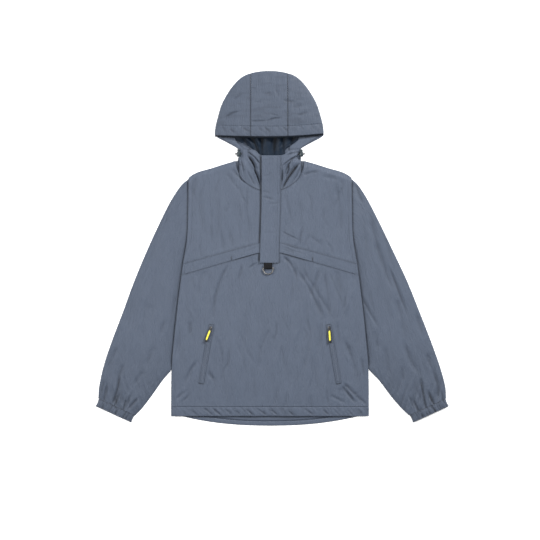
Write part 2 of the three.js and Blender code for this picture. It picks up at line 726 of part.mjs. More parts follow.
// Zipped side pocket of one side: welt, tape, slider, pull and its inlay
function addPocket(side) {
  const sign = signOf(side);
  const top = new THREE.Vector2(sign * POCKET.topX, POCKET.topY);
  const low = new THREE.Vector2(sign * POCKET.lowX, POCKET.lowY);
  const length = top.distanceTo(low);
  const turn = sign * Math.atan2(POCKET.lowX - POCKET.topX, POCKET.topY - POCKET.lowY);
  const onPanel = LOWER_TOP + SEAM;

  const frame = bar(POCKET.width, length);
  frame.holes.push(bar(POCKET.width - 2 * POCKET.lip, length - 2 * POCKET.lip));
  const welt = addPiece(`pocket_welt_${side}`, slab(frame, POCKET.wall), shell);
  welt.position.set((top.x + low.x) / 2, (top.y + low.y) / 2, onPanel);
  welt.rotation.z = turn;

  const tapeWidth = POCKET.width - 2 * POCKET.lip - 2 * SEAM;
  const tape = slab(bar(tapeWidth, length - 2 * POCKET.lip - 2 * SEAM), TAPE_WALL);
  const zip = addPiece(`pocket_zip_${side}`, tape, shell);
  zip.position.copy(welt.position);
  zip.rotation.z = turn;

  const down = new THREE.Vector2(Math.sin(turn), -Math.cos(turn));
  const seat = top.clone().addScaledVector(down, POCKET.lip + SLIDER.length / 2);
  const slider = addPiece(`zip_slider_${side}`, sliderShape(), black);
  slider.position.set(seat.x, seat.y, onPanel + POCKET.wall + SEAM);
  slider.rotation.z = turn;
  addPull(side, seat, slider.position.z + SLIDER.wall + HINGE_RISE);
}

// Slider body with the bridge that the pull hangs on
function sliderShape() {
  const { half, post, high, width, sunk } = BRIDGE;
  const arch = new THREE.Shape();
  arch.moveTo(-half, -sunk);
  arch.lineTo(half, -sunk);
  arch.lineTo(half, high);
  arch.lineTo(-half, high);
  arch.closePath();
  const hole = new THREE.Path();
  const reach = half - post;
  hole.moveTo(-reach, 0);
  hole.lineTo(-reach, high - post);
  hole.lineTo(reach, high - post);
  hole.lineTo(reach, 0);
  hole.closePath();
  arch.holes.push(hole);
  const bridge = slab(arch, width).rotateX(Math.PI / 2).rotateZ(Math.PI / 2);
  bridge.translate(-width / 2, 0, SLIDER.wall);
  const body = slab(bar(SLIDER.width, SLIDER.length), SLIDER.wall, 0.5);
  return geometryOf(solid(body).add(solid(bridge)));
}

// Moulded pull: a thin eye round the slider's bridge, then the thicker tab with its coloured inlay
function addPull(side, seat, level) {
  const turn = THREE.MathUtils.degToRad(signOf(side) * ZIP_LEAN + PULL_TURN[side]);
  const eye = bar(PULL.neck, PULL.eye);
  eye.holes.push(bar(PULL.slot, PULL.eye - 2 * PULL.bar));
  const thin = slab(eye, PULL.bar).translate(0, (PULL.bar - PULL.eye) / 2, -PULL.bar / 2);
  const tabLength = PULL.length - PULL.eye + 1;
  const tabMiddle = PULL.bar / 2 - PULL.eye + 1 - tabLength / 2;
  const thick = slab(bar(PULL.width, tabLength), PULL.wall, 0.6).translate(0, tabMiddle, -PULL.wall / 2);
  const pull = addPiece(`zip_pull_${side}`, geometryOf(solid(thin).add(solid(thick))), black);
  pull.position.set(seat.x, seat.y, level);
  pull.rotation.z = turn;
  const inlay = slab(bar(INLAY.width, INLAY.length), INLAY.wall);
  inlay.translate(0, tabMiddle + 1, PULL.wall / 2 + 0.05);
  const mark = addPiece(`pull_inlay_${side}`, inlay, material(COLORS.yellow, 0.5));
  mark.position.copy(pull.position);
  mark.rotation.z = turn;
}

// D-ring: a straight bar at the webbing, straight sides and a round end
function addRing() {
  const outline = (half, top) => {
    const shape = new THREE.Shape();
    shape.moveTo(-half, top);
    shape.lineTo(-half, -RING.side);
    shape.absarc(0, -RING.side, half, Math.PI, 2 * Math.PI, false);
    shape.lineTo(half, top);
    shape.closePath();
    return shape;
  };
  const shape = outline(RING.half, RING.wire / 2);
  shape.holes.push(outline(RING.half - RING.wire, -RING.wire / 2));
  const ring = addPiece("d_ring", slab(shape, RING.wire, RING.bevel), material(COLORS.metal, 0.35, 0.9));
  ring.position.set(RING.x, RING.y, RING.z - RING.wire / 2);
}

// Webbing loop round the ring's bar, its tail sewn under the end of the placket
function addWebbing() {
  const drop = WEBBING.low - RING.z;
  const shape = new THREE.Shape();
  shape.moveTo(WEBBING.tail, drop);
  shape.lineTo(0, -WEBBING.wrap);
  shape.absarc(0, 0, WEBBING.wrap, -Math.PI / 2, -1.5 * Math.PI, true);
  shape.lineTo(11, WEBBING.high - RING.z);
  shape.lineTo(WEBBING.tail, WEBBING.high - RING.z);
  shape.closePath();
  const bore = new THREE.Path();
  bore.absarc(0, 0, WEBBING.bore, 0, 2 * Math.PI, false);
  shape.holes.push(bore);
  const strap = slab(shape, 2 * WEBBING.half);
  strap.rotateX(Math.PI / 2).rotateZ(Math.PI / 2);
  const box = new THREE.Box3().setFromBufferAttribute(strap.getAttribute("position"));
  const loop = addPiece("ring_webbing", strap, black);
  loop.position.set(RING.x - (box.min.x + box.max.x) / 2, RING.y, RING.z);
}

function solid(geometry) {
  const plain = geometry.clone();
  plain.deleteAttribute("normal");
  plain.deleteAttribute("uv");
  const merged = mergeVertices(plain, 1e-4);
  return new wasm.Manifold(
    new wasm.Mesh({
      numProp: 3,
      vertProperties: merged.attributes.position.array,
      triVerts: new Uint32Array(merged.index.array),
    }),
  );
}

function geometryOf(made) {
  const mesh = made.getMesh();
  const geometry = new THREE.BufferGeometry();
  geometry.setAttribute("position", new THREE.BufferAttribute(mesh.vertProperties, 3));
  return geometry.setIndex(new THREE.BufferAttribute(mesh.triVerts, 1));
}

// Cord lock beside the neck: a barrel with a push button, bored across for the cord
function addLock(side) {
  const sign = signOf(side);
  const { radius, length, button, stem, bore } = LOCK;
  const profile = [
    [0, -length / 2],
    [radius * 0.7, -length / 2],
    [radius, -length * 0.3],
    [radius, length * 0.24],
    [button, length * 0.3],
    [button, length / 2 + stem * 0.6],
    [button * 0.7, length / 2 + stem],
    [0, length / 2 + stem],
  ].map(([x, y]) => new THREE.Vector2(x, y));
  const barrel = new THREE.LatheGeometry(profile, 12);
  const hole = new THREE.CylinderGeometry(bore, bore, 4 * radius, 10).rotateZ(Math.PI / 2);
  const made = solid(barrel).subtract(solid(hole));
  const lock = addPiece(`cord_lock_${side}`, geometryOf(made), material(COLORS.lock, 0.35));
  lock.position.set(sign * LOCK.x, LOCK.y, LOCK.z);
}

// Elastic cord: a hairpin from the casing's eyelet, through the lock, to a small loop
function addCord(side) {
  const sign = signOf(side);
  const far = LOCK.x + LOCK.radius + CORD.reach - CORD.spread;
  const level = LOCK.z;
  const strand = (x, up, z = level) => new THREE.Vector3(sign * x, LOCK.y + up * CORD.spread, z);
  const bend = spread(90, -90, 7).map((deg) => {
    const turn = THREE.MathUtils.degToRad(deg);
    return new THREE.Vector3(
      sign * (far + CORD.spread * Math.cos(turn)),
      LOCK.y + CORD.spread * Math.sin(turn),
      level,
    );
  });
  const ends = [1, -1].map((up) => strand(CORD.inner, up, CORD.eyelet));
  const route = [ends[0], strand(LOCK.x, 1), ...bend, strand(LOCK.x, -1), ends[1]];
  const section = new THREE.Shape().absarc(0, 0, CORD.radius, 0, 2 * Math.PI, false);
  const geometry = new THREE.ExtrudeGeometry(section, {
    steps: 18,
    curveSegments: 4,
    bevelEnabled: false,
    extrudePath: new THREE.CatmullRomCurve3(route, false, "centripetal"),
  });
  addPiece(`lock_cord_${side}`, geometry, black);
}

addBack();
addLowerFront();
addFrontHem();
addPlacket();
addFrontZip();
addHoodBack();
addHoodFront();
addHoodLining();
for (const side of ["left", "right"]) {
  addYoke(side);
  addChestFlap(side);
  addThroat(side);
  addFacing(side);
  addSleeve(side);
  addPocket(side);
  addLock(side);
  addCord(side);
}
addRing();
addWebbing();

export default anorak;
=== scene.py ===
# %% [markdown]
# # A hooded anorak, laid flat
# The garment is a pullover of crinkled nylon that lies on its back. Its panels are thin cloth on top of each
# other, so nothing here is solid: every panel is a closed wall one or two millimetres thick, with a flat
# pattern of its own for the weave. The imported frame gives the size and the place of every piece.

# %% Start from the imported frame
import math

import bmesh
import bpy
import numpy as np
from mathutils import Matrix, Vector


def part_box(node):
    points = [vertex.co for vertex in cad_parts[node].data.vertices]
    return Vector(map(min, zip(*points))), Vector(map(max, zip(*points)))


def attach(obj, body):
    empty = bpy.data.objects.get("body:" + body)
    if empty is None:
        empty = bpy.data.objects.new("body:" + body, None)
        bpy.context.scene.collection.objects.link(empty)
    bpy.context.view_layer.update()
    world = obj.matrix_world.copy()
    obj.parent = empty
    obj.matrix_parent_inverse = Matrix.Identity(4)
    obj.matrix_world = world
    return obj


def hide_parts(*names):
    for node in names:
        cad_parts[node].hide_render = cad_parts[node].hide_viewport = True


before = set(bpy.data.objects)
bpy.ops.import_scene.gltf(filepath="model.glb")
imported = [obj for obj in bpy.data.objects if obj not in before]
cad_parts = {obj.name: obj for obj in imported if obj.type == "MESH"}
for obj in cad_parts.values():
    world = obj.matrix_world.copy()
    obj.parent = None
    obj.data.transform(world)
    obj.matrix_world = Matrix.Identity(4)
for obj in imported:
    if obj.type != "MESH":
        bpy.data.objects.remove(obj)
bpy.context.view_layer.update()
scene = bpy.context.scene

# %% [markdown]
# ## Camera and light
# The picture is taken straight down, as a garment is shown in a shop. A long lens from four metres keeps the
# hood and the hem at the same scale. A key lamp beyond the right shoulder gives each fold a light and a dark
# flank, a weaker one fills from the left, and a near one over the chest lets the hem and the cuffs fall off.
# The floor is white paper that glows faintly, so no shadow fringe shows beside the cloth.

# %% Camera
CAMERA_HEIGHT = 4.0
VIEW_WIDTH = 1.458
SENSOR = 36.0

eye = bpy.data.cameras.new("camera")
eye.sensor_width = SENSOR
eye.lens = SENSOR * CAMERA_HEIGHT / VIEW_WIDTH
eye.clip_end = 50
camera = bpy.data.objects.new("camera", eye)
camera.location = (0, 0.0027, CAMERA_HEIGHT)
scene.collection.objects.link(camera)
scene.camera = camera
print("camera: lens", round(eye.lens, 1), "mm")

# %% Lamps and sky
def lamp(name, place, size, power, aim=(0, 0, 0), colour=(1, 1, 1)):
    light = bpy.data.lights.new(name, "AREA")
    light.shape = "RECTANGLE"
    light.size, light.size_y = size
    light.energy = power
    light.color = colour
    rig = bpy.data.objects.new(name, light)
    rig.location = place
    rig.rotation_euler = (Vector(aim) - Vector(place)).to_track_quat("-Z", "Y").to_euler()
    scene.collection.objects.link(rig)


lamp("key_lamp", (3.3, 3.5, 3.4), (1.1, 1.1), 430)
lamp("fill_lamp", (-3.4, 0.8, 2.6), (1.4, 1.4), 112)
lamp("near_lamp", (-0.12, 0.04, 1.6), (0.6, 0.6), 12.5)
sky = bpy.data.worlds.new("sky")
scene.world = sky
sky.use_nodes = True
glow = sky.node_tree.nodes["Background"].inputs
glow["Color"].default_value = (0.93, 0.96, 1.0, 1)
glow["Strength"].default_value = 0.14
scene.view_settings.view_transform = "Standard"
scene.view_settings.look = "None"
print("light:", len(bpy.data.lights), "lamps and a sky")

# %% [markdown]
# ## A small language for finishes
# A finish is a shader with numbers that change over the surface. Wrapping a socket in a class that knows
# plus, minus and times lets such a number be written as plain arithmetic.

# %% Shader arithmetic
class Value:
    """A number that a finish works out at each point of the surface."""

    def __init__(self, finish, socket):
        self.finish = finish
        self.socket = socket

    def join(self, operation, other, turned=False):
        pair = (other, self) if turned else (self, other)
        return self.finish.node("Math", {"operation": operation}, {0: pair[0], 1: pair[1]})

    def __add__(self, other):
        return self.join("ADD", other)

    def __sub__(self, other):
        return self.join("SUBTRACT", other)

    def __mul__(self, other):
        return self.join("MULTIPLY", other)

    def __rsub__(self, other):
        return self.join("SUBTRACT", other, True)

    def __pow__(self, other):
        return self.join("POWER", other)

    __radd__ = __add__
    __rmul__ = __mul__

    def size(self):
        return self.finish.node("Math", {"operation": "ABSOLUTE"}, {0: self})


class Finish:
    """A material with its shader. One method adds any other node, and a few more are made from it."""

    def __init__(self, name, **constants):
        self.material = bpy.data.materials.new(name)
        self.material.use_nodes = True
        self.tree = self.material.node_tree
        self.shader = self.tree.nodes["Principled BSDF"]
        for socket, value in constants.items():
            self.shader.inputs[socket.replace("_", " ")].default_value = value

    def node(self, kind, settings, values, out=0):
        node = self.tree.nodes.new("ShaderNode" + kind)
        for key, value in settings.items():
            setattr(node, key, value)
        for key, value in values.items():
            self.feed(node.inputs[key], value)
        return Value(self, node.outputs[out])

    def feed(self, socket, value):
        if isinstance(value, Value):
            self.tree.links.new(value.socket, socket)
        else:
            socket.default_value = value

    def give(self, **values):
        for socket, value in values.items():
            self.feed(self.shader.inputs[socket.replace("_", " ")], value)

    def noise(self, place, stretch, detail=3.0, rough=0.55):
        """Unevenness between 0 and 1. stretch is how many waves a metre holds in each direction."""
        stretched = self.node("Mapping", {}, {"Vector": place, "Scale": stretch})
        values = {"Vector": stretched, "Scale": 1.0, "Detail": detail, "Roughness": rough}
        return self.node("TexNoise", {}, values)

    def ribs(self, place, stretch, axis="X"):
        """Even ribs across one axis, between 0 and 1."""
        stretched = self.node("Mapping", {}, {"Vector": place, "Scale": stretch})
        settings = {"wave_type": "BANDS", "bands_direction": axis}
        return self.node("TexWave", settings, {"Vector": stretched, "Scale": 1.0 / math.tau}, out=1)

    def mix(self, share, first, second):
        values = {"Factor": share, 6: first, 7: second}
        return self.node("Mix", {"data_type": "RGBA"}, values, out=2)

    def bump(self, height, depth):
        return self.node("Bump", {}, {"Height": height, "Distance": depth, "Strength": 1.0})


def tint(colour, share):
    return (*[channel * share for channel in colour], 1.0)

# %% [markdown]
# ## Crinkled nylon
# The shell is a light plain weave that was washed so that it keeps fine upright crinkles, two to ten
# millimetres apart. The crinkles are mostly relief, so they feed the bump. The yarn adds a much finer
# relief, and the dye takes a little unevenly. The pattern reads the panel's own flat map, so it runs along
# the grain of each sleeve as well. Shade is painted into the colour: each panel keeps an attribute of its
# own that says how much painted shade a point gets, in the bottoms of folds, along seams, under edges
# that stand up, and a little over the hood, the cuffs and the lower sleeves.

# %% Cloth finishes
SHELL_COLOUR = (0.0665, 0.0838, 0.119)
# The lining is a dark cloth, and its colour is set darker still as painted shade for the inside of the hood.
LINING_COLOUR_AND_SHADE = (0.0092, 0.0163, 0.0285)


def cloth(name, colour, crinkle, roughness, sheen, gloss):
    finish = Finish(name, Sheen_Weight=sheen, Sheen_Roughness=0.45, Specular_IOR_Level=gloss)
    place = finish.node("UVMap", {"uv_map": "flat"}, {})
    long_crinkle = finish.noise(place, (300, 42, 1), 3.0, 0.6)
    short_crinkle = finish.noise(place, (520, 150, 1), 2.0)
    sharp = 1.0 - (2.0 * finish.noise(place, (210, 30, 7), 2.0) - 1.0).size()
    yarn = finish.ribs(place, (9000, 0, 0), "X") * finish.ribs(place, (0, 9000, 0), "Y")
    streak = finish.noise(place, (95, 11, 3), 2.0)
    relief = 0.5 * long_crinkle + 0.18 * short_crinkle + 0.35 * sharp + 0.6 * streak + 0.03 * yarn
    cloud = finish.noise(place, (26, 14, 1), 4.0)
    fleck = finish.noise(place, (700, 260, 1), 1.0)
    shade = 0.25 * cloud + 0.25 * fleck + 0.25 * sharp + 0.25 * streak
    # The panel's shade attribute paints shade into the colour, darkening it towards near black.
    hollow = finish.node("Attribute", {"attribute_name": "hollow"}, {}, out=2)
    dyed = finish.mix(shade, tint(colour, 0.78), tint(colour, 1.22))
    finish.give(
        Base_Color=finish.mix(0.85 * hollow, dyed, tint(colour, 0.12)),
        Roughness=roughness + 0.12 * (cloud - 0.5) - 0.08 * long_crinkle,
        Normal=finish.bump(relief, crinkle),
    )
    return finish.material


shell = cloth("crinkled_nylon", SHELL_COLOUR, 0.0028, 0.62, 0.12, 0.3)
lining = cloth("lining_nylon", LINING_COLOUR_AND_SHADE, 0.0002, 0.5, 0.0, 0.1)

# %% [markdown]
# ## Webbing, cord, thread, metal and mouldings
# Each small part has its own finish: ribbed black webbing, braided elastic, thread and zip tape in the
# shell's colour, dark gunmetal that has rubbed brighter on its edges, matt black pulls with a yellow bar, and
# dark green cord locks.

# %% Finishes of the trims
def on_object(finish):
    return finish.node("TexCoord", {}, {}, out=3)


def woven_black():
    finish = Finish("black_webbing", Sheen_Weight=0.03, Specular_IOR_Level=0.15)
    place = on_object(finish)
    weft = finish.ribs(place, (0, 4200, 0), "Y")
    warp = finish.ribs(place, (6300, 0, 0), "X")
    fuzz = finish.noise(place, (1500, 1500, 1500), 2.0)
    finish.give(
        Base_Color=finish.mix(weft * 0.6 + fuzz * 0.4, (0.003, 0.003, 0.0035, 1), (0.012, 0.012, 0.014, 1)),
        Roughness=0.7 + 0.15 * fuzz,
        Normal=finish.bump(weft * 0.7 + warp * 0.3, 0.0002),
    )
    return finish.material


def braided(name, dark, light):
    finish = Finish(name, Sheen_Weight=0.15)
    place = on_object(finish)
    left = finish.ribs(place, (5200, 5200, 0), "DIAGONAL")
    right = finish.ribs(place, (5200, -5200, 0), "DIAGONAL")
    finish.give(
        Base_Color=finish.mix(left * right, dark, light),
        Roughness=0.75 - 0.1 * left,
        Normal=finish.bump(left * right, 0.00015),
    )
    return finish.material


def moulded(name, colour, roughness, coat=0.0, grain=0.00004):
    finish = Finish(name, Coat_Weight=coat, Coat_Roughness=0.12)
    place = on_object(finish)
    fine = finish.noise(place, (2600, 2600, 2600), 2.0)
    cloud = finish.noise(place, (160, 160, 160), 3.0)
    finish.give(
        Base_Color=finish.mix(0.6 * cloud + 0.4 * fine, tint(colour, 0.8), tint(colour, 1.2)),
        Roughness=roughness + 0.18 * (cloud - 0.5),
        Normal=finish.bump(fine, grain),
    )
    return finish.material


def worn_metal():
    finish = Finish("gunmetal", Metallic=1.0)
    place = on_object(finish)
    cloud = finish.noise(place, (420, 420, 420), 4.0, 0.6)
    scratch = finish.noise(place, (1900, 300, 1900), 3.0)
    edge = finish.node("NewGeometry", {}, {}, out=7)
    worn = finish.node("MapRange", {}, {"Value": edge, "From Min": 0.5, "From Max": 0.58})
    dull = finish.mix(cloud, (0.07, 0.068, 0.066, 1), (0.16, 0.155, 0.15, 1))
    finish.give(
        Base_Color=finish.mix(worn * 0.6, dull, (0.42, 0.41, 0.4, 1)),
        Roughness=0.36 + 0.2 * cloud,
        Normal=finish.bump(scratch, 0.000015),
    )
    return finish.material


webbing = woven_black()
elastic = braided("elastic_cord", (0.005, 0.005, 0.006, 1), (0.03, 0.032, 0.036, 1))
thread = braided("sewing_thread", tint(SHELL_COLOUR, 0.5), tint(SHELL_COLOUR, 0.82))
coil = braided("zip_coil", tint(SHELL_COLOUR, 1.1), tint(SHELL_COLOUR, 1.4))
tape_weave = braided("zip_tape", tint(SHELL_COLOUR, 1.1), tint(SHELL_COLOUR, 1.4))
black_plastic = moulded("black_plastic", (0.012, 0.012, 0.013), 0.42)
yellow_rubber = moulded("yellow_rubber", (0.82, 0.74, 0.06), 0.5)
lock_plastic = moulded("lock_plastic", (0.010, 0.022, 0.030), 0.42, coat=0.1)
gunmetal = worn_metal()
dark_metal = moulded("slider_enamel", (0.016, 0.016, 0.018), 0.3, coat=0.3)

# %% Floor
bpy.ops.mesh.primitive_plane_add(size=12, location=(0, 0, -0.0005))
floor = bpy.context.object
floor.name = "paper_floor"
paper = Finish("white_paper", Roughness=0.9, Specular_IOR_Level=0.1, Emission_Strength=0.35)
paper.give(Emission_Color=(1, 1, 1, 1))
paper_grain = paper.noise(on_object(paper), (90, 90, 90))
paper.give(Base_Color=paper.mix(paper_grain, (0.93, 0.93, 0.935, 1), (0.95, 0.95, 0.955, 1)))
floor.data.materials.append(paper.material)
print("finishes:", len(bpy.data.materials))

# %% [markdown]
# ## Curves, folds and unevenness
# The panels are worked out in millimetres, the way a pattern is drawn, and become metres when a mesh is made.
# A table of a few rows gives each outline, and a smooth curve runs through it. A crease is a trough along a
# bent line with a softer ridge on both sides, which fades out at its ends, as pressed cloth does.

# %% Smooth curves through tables
MM = 0.001
SIDES = (("left", -1), ("right", 1))


def curve(rows):
    """The value at a place, from rows of (place, value), as a smooth curve."""
    at, value = np.array(rows, float).T
    last = len(at) - 1
    before = np.maximum(np.arange(last + 1) - 1, 0)
    after = np.minimum(np.arange(last + 1) + 1, last)
    slope = (value[after] - value[before]) / (at[after] - at[before])

    def read(place):
        place = np.clip(place, at[0], at[-1])
        i = np.clip(np.searchsorted(at, place) - 1, 0, last - 1)
        span = at[i + 1] - at[i]
        t = (place - at[i]) / span
        start = 2 * t**3 - 3 * t**2 + 1
        rise = (t**3 - 2 * t**2 + t) * slope[i] + (t**3 - t**2) * slope[i + 1]
        return start * value[i] + (1 - start) * value[i + 1] + span * rise

    return read


def smooth(low, high, value):
    """0 below the first limit, 1 beyond the second, and a soft change between them."""
    t = np.clip((value - low) / (high - low), 0, 1)
    return t * t * (3 - 2 * t)


def hump(off, width):
    """1 on a line and soon nothing on both sides of it."""
    return np.exp(-((off / width) ** 2))

# %% Folds, creases and unevenness
def uneven(x, y, seed):
    """Soft lattice noise between -1 and 1, the same on every run."""
    lattice = np.random.default_rng(seed).uniform(-1, 1, (64, 64))
    i, j = np.floor(x).astype(int), np.floor(y).astype(int)
    s, t = smooth(0, 1, x - i), smooth(0, 1, y - j)

    def corner(a, b):
        return lattice[(i + a) % 64, (j + b) % 64]

    near = corner(0, 0) * (1 - s) + corner(1, 0) * s
    far = corner(0, 1) * (1 - s) + corner(1, 1) * s
    return near * (1 - t) + far * t


def broad_folds(x, y, rows):
    """Soft troughs, as wide as the solids have them. Each row is x0, y0, x1, y1, width, depth."""
    lift = np.zeros(np.broadcast(x, y).shape)
    for x0, y0, x1, y1, width, depth in rows:
        dx, dy = x1 - x0, y1 - y0
        along = np.clip(((x - x0) * dx + (y - y0) * dy) / (dx * dx + dy * dy), 0, 1)
        off = np.hypot(x - x0 - along * dx, y - y0 - along * dy) / width
        lift = lift - depth * np.exp(-off * off)
    return lift


CREASE_PARTS = 10


def creases(x, y, rows, sharp=1.0, seed=5):
    """Sharper creases. Each row is x0, y0, x1, y1, bow, width, depth, and a negative depth is a ridge."""
    x, y = np.broadcast_arrays(x, y)
    lift = np.zeros(x.shape)
    for count, (x0, y0, x1, y1, bow, width, depth) in enumerate(rows):
        width = sharp * width
        dx, dy = x1 - x0, y1 - y0
        length = math.hypot(dx, dy)
        reach = 4 * width + abs(bow)
        close = (x > min(x0, x1) - reach) & (x < max(x0, x1) + reach)
        close &= (y > min(y0, y1) - reach) & (y < max(y0, y1) + reach)
        if not close.any():
            continue
        px, py = x[close], y[close]
        t = np.linspace(0, 1, CREASE_PARTS + 1)
        bulge = 4 * t * (1 - t) * bow
        kx, ky = x0 + t * dx - bulge * dy / length, y0 + t * dy + bulge * dx / length
        best = np.full(px.shape, 1e9)
        where = np.zeros(px.shape)
        for k in range(CREASE_PARTS):
            sx, sy = kx[k + 1] - kx[k], ky[k + 1] - ky[k]
            share = np.clip(((px - kx[k]) * sx + (py - ky[k]) * sy) / (sx * sx + sy * sy), 0, 1)
            off = np.hypot(px - kx[k] - share * sx, py - ky[k] - share * sy)
            nearer = off < best
            best = np.where(nearer, off, best)
            where = np.where(nearer, (k + share) / CREASE_PARTS, where)
        wobble = 1 + 0.35 * uneven(where * length / 22, np.full(px.shape, count + 0.5), seed)
        off = best / (width * wobble)
        shape = np.exp(-(off**1.4)) - 0.13 * hump(off - 2.1, 0.9)
        fade = smooth(0, 0.22, where) * smooth(1, 0.7, where)
        lift[close] -= depth * shape * (0.25 + 0.75 * fade) * smooth(4, 2.6, off) * wobble
    return lift


def fold_shade(x, y, rows, floor=2.6):
    """How much shade is painted into the bottoms of creases: narrow ones get dark lines, wide ones barely any.
    """
    lines = []
    for *line, width, depth in rows:
        if depth > 0:
            lines.append((*line, max(floor, 0.5 * width), depth * min(1, 5 / width) ** 1.6))
    return np.maximum(-creases(x, y, lines), 0)

# %% [markdown]
# ## Walls of cloth
# A panel is a grid of points for its outer face and one for its inner face. A ring of points between the two
# rounds the edge, so a folded edge looks turned and two panels meet in a small valley, which is what a seam
# looks like. A looped wall is a tube, such as a sleeve.

# %% Walls
EDGE_ROUND = (0.45, 0.45, 0.45, 0.45)


def pulled_in(grid, amounts, looped):
    """The grid with its border drawn inwards: by one amount each at its low, high, first and last side."""
    grid = grid.copy()
    for edge, inside, amount in ((0, 1, amounts[0]), (-1, -2, amounts[1])):
        step = grid[inside] - grid[edge]
        reach = np.linalg.norm(step, axis=1, keepdims=True)
        grid[edge] += step / reach * np.minimum(amount, 0.6 * reach)
    if not looped:
        for edge, inside, amount in ((0, 1, amounts[2]), (-1, -2, amounts[3])):
            step = grid[:, inside] - grid[:, edge]
            reach = np.linalg.norm(step, axis=1, keepdims=True)
            grid[:, edge] += step / reach * np.minimum(amount, 0.6 * reach)
    return grid


def facing_out(points, quads):
    """The faces of a closed shape, turned so that all look outwards."""
    a, b, c, d = (points[quads[:, k]] for k in range(4))
    volume = np.einsum("ij,ij->", a, np.cross(b, c)) + np.einsum("ij,ij->", a, np.cross(c, d))
    return quads if volume > 0 else quads[:, ::-1]


def smooth_faces(mesh):
    mesh.polygons.foreach_set("use_smooth", np.ones(len(mesh.polygons), bool))


def lay_flat(mesh, places):
    """Keep each point's place on the cut, in millimetres, as the map that the weave follows."""
    corner = np.empty(len(mesh.loops), int)
    mesh.loops.foreach_get("vertex_index", corner)
    mesh.uv_layers.new(name="flat").data.foreach_set("uv", (places[corner] * MM).ravel())


def wall(name, outer, inner, flat=None, looped=False, edge=EDGE_ROUND, hollow=0):
    """A closed wall between two grids, in millimetres. flat is each point's place on the cut, for the weave,
    and the last argument is how much shade is painted into each point's colour, from 0 to 1."""
    rows, cols = outer.shape[:2]
    thick = np.linalg.norm(outer[rows // 2, cols // 2] - inner[rows // 2, cols // 2])
    middle = (outer + inner) / 2
    number = np.arange(rows * cols).reshape(rows, cols)
    layer = rows * cols
    if looped:
        borders = [number[0], number[-1][::-1]]
    else:
        borders = [np.concatenate([number[0], number[1:, -1], number[-1, -2::-1], number[-2:0:-1, 0]])]
    across = np.arange(cols if looped else cols - 1)
    i, j = np.meshgrid(np.arange(rows - 1), across, indexing="ij")
    k = (j + 1) % cols
    face = np.stack([number[i, j], number[i, k], number[i + 1, k], number[i + 1, j]], -1).reshape(-1, 4)
    quads = [face, face[:, ::-1] + layer]
    amounts = [share * thick for share in edge]
    points = [pulled_in(outer, amounts, looped).reshape(-1, 3)]
    points.append(pulled_in(inner, amounts, looped).reshape(-1, 3))
    cut = np.dstack([outer[..., 0], outer[..., 1]]) if flat is None else flat
    places = [cut.reshape(-1, 2), cut.reshape(-1, 2)]
    # Painted shade for each point: the outer face gets it, the inner face none.
    shade_per_point = [np.clip(hollow + np.zeros((rows, cols)), 0, 1).ravel(), np.zeros(layer)]
    base = 2 * layer
    for border in borders:
        ring = base + np.arange(len(border))
        after = np.roll(border, -1)
        ring_after = np.roll(ring, -1)
        quads.append(np.stack([after, border, ring, ring_after], -1))
        quads.append(np.stack([ring_after, ring, border + layer, after + layer], -1))
        points.append(middle.reshape(-1, 3)[border])
        places.append(cut.reshape(-1, 2)[border])
        shade_per_point.append(shade_per_point[0][border])
        base += len(border)
    points, quads, places = np.concatenate(points), np.concatenate(quads), np.concatenate(places)
    quads = facing_out(points, quads)
    mesh = bpy.data.meshes.new(name)
    mesh.from_pydata((points * MM).tolist(), [], quads.tolist())
    lay_flat(mesh, places)
    mesh.attributes.new("hollow", "FLOAT", "POINT").data.foreach_set("value", np.concatenate(shade_per_point))
    smooth_faces(mesh)
    return mesh


def sunk(grid, thick):
    """The inner face of a panel that lies flat: straight below its outer one."""
    return grid - np.array([0, 0, thick])

# %% [markdown]
# ## Taking a piece into the frame
# Each piece gets its finish, rides on a body and stands for its solids. A sheet of cloth also says how large
# its cut is, worked out from the same grid.

# %% Pieces and sheets
def add_piece(name, mesh, finish, stands_for=(), body="garment"):
    piece = bpy.data.objects.new(name, mesh)
    scene.collection.objects.link(piece)
    mesh.materials.append(finish)
    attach(piece, body)
    if stands_for:
        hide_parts(*stands_for)
    print(f"{name}: {len(mesh.polygons)} faces")
    return piece


def cut_size(grid):
    """Width, length and area of a cut, in metres, from the grid of a panel that lies flat."""
    flat = grid[..., :2] * MM
    width, length = flat.reshape(-1, 2).max(0) - flat.reshape(-1, 2).min(0)
    one, two = flat[1:, 1:] - flat[:-1, :-1], flat[1:, :-1] - flat[:-1, 1:]
    area = np.abs(one[..., 0] * two[..., 1] - one[..., 1] * two[..., 0]).sum() / 2
    return (round(float(width), 4), round(float(length), 4)), round(float(area), 5)


def tube_cut(grid):
    """Flat size of a flattened tube, with both layers opened out, and the area of the cloth all round it."""
    middle = grid[..., :2].mean(axis=1)
    run = (middle[-1] - middle[0]) / np.linalg.norm(middle[-1] - middle[0])
    along = grid[..., :2] @ run
    across = grid[..., :2] @ np.array([-run[1], run[0]])
    closed = np.concatenate([grid, grid[:, :1]], axis=1)
    facing = np.cross(closed[1:, 1:] - closed[:-1, :-1], closed[1:, :-1] - closed[:-1, 1:])
    area = np.linalg.norm(facing, axis=-1).sum() / 2
    return (2 * float(np.ptp(across)) * MM, float(np.ptp(along)) * MM), float(area) * MM * MM


def add_cloth(name, outer, thick, stands_for, lies_on, finish=shell, slot="shell", inner=None, **shape):
    """A panel of cloth. shape is what its wall needs besides the grids."""
    mesh = wall(name, outer, sunk(outer, thick) if inner is None else inner, **shape)
    piece = add_piece(name, mesh, finish, stands_for)
    size, area = tube_cut(outer) if shape.get("looped") else cut_size(outer)
    area = min(area, size[0] * size[1])
    print(f"    its cut: {size[0]:.3f} x {size[1]:.3f} m, area {area:.4f} m2")

# %% [markdown]
# ## The body's levels and outline
# The tables below are the frame's own: half width against height, the shoulder line, the neck seam and the
# lines of the chest flaps. The front lies some six millimetres up, rolls down to the back panel at the
# shoulders and at the free part of its sides, and overhangs the sleeves beside it.

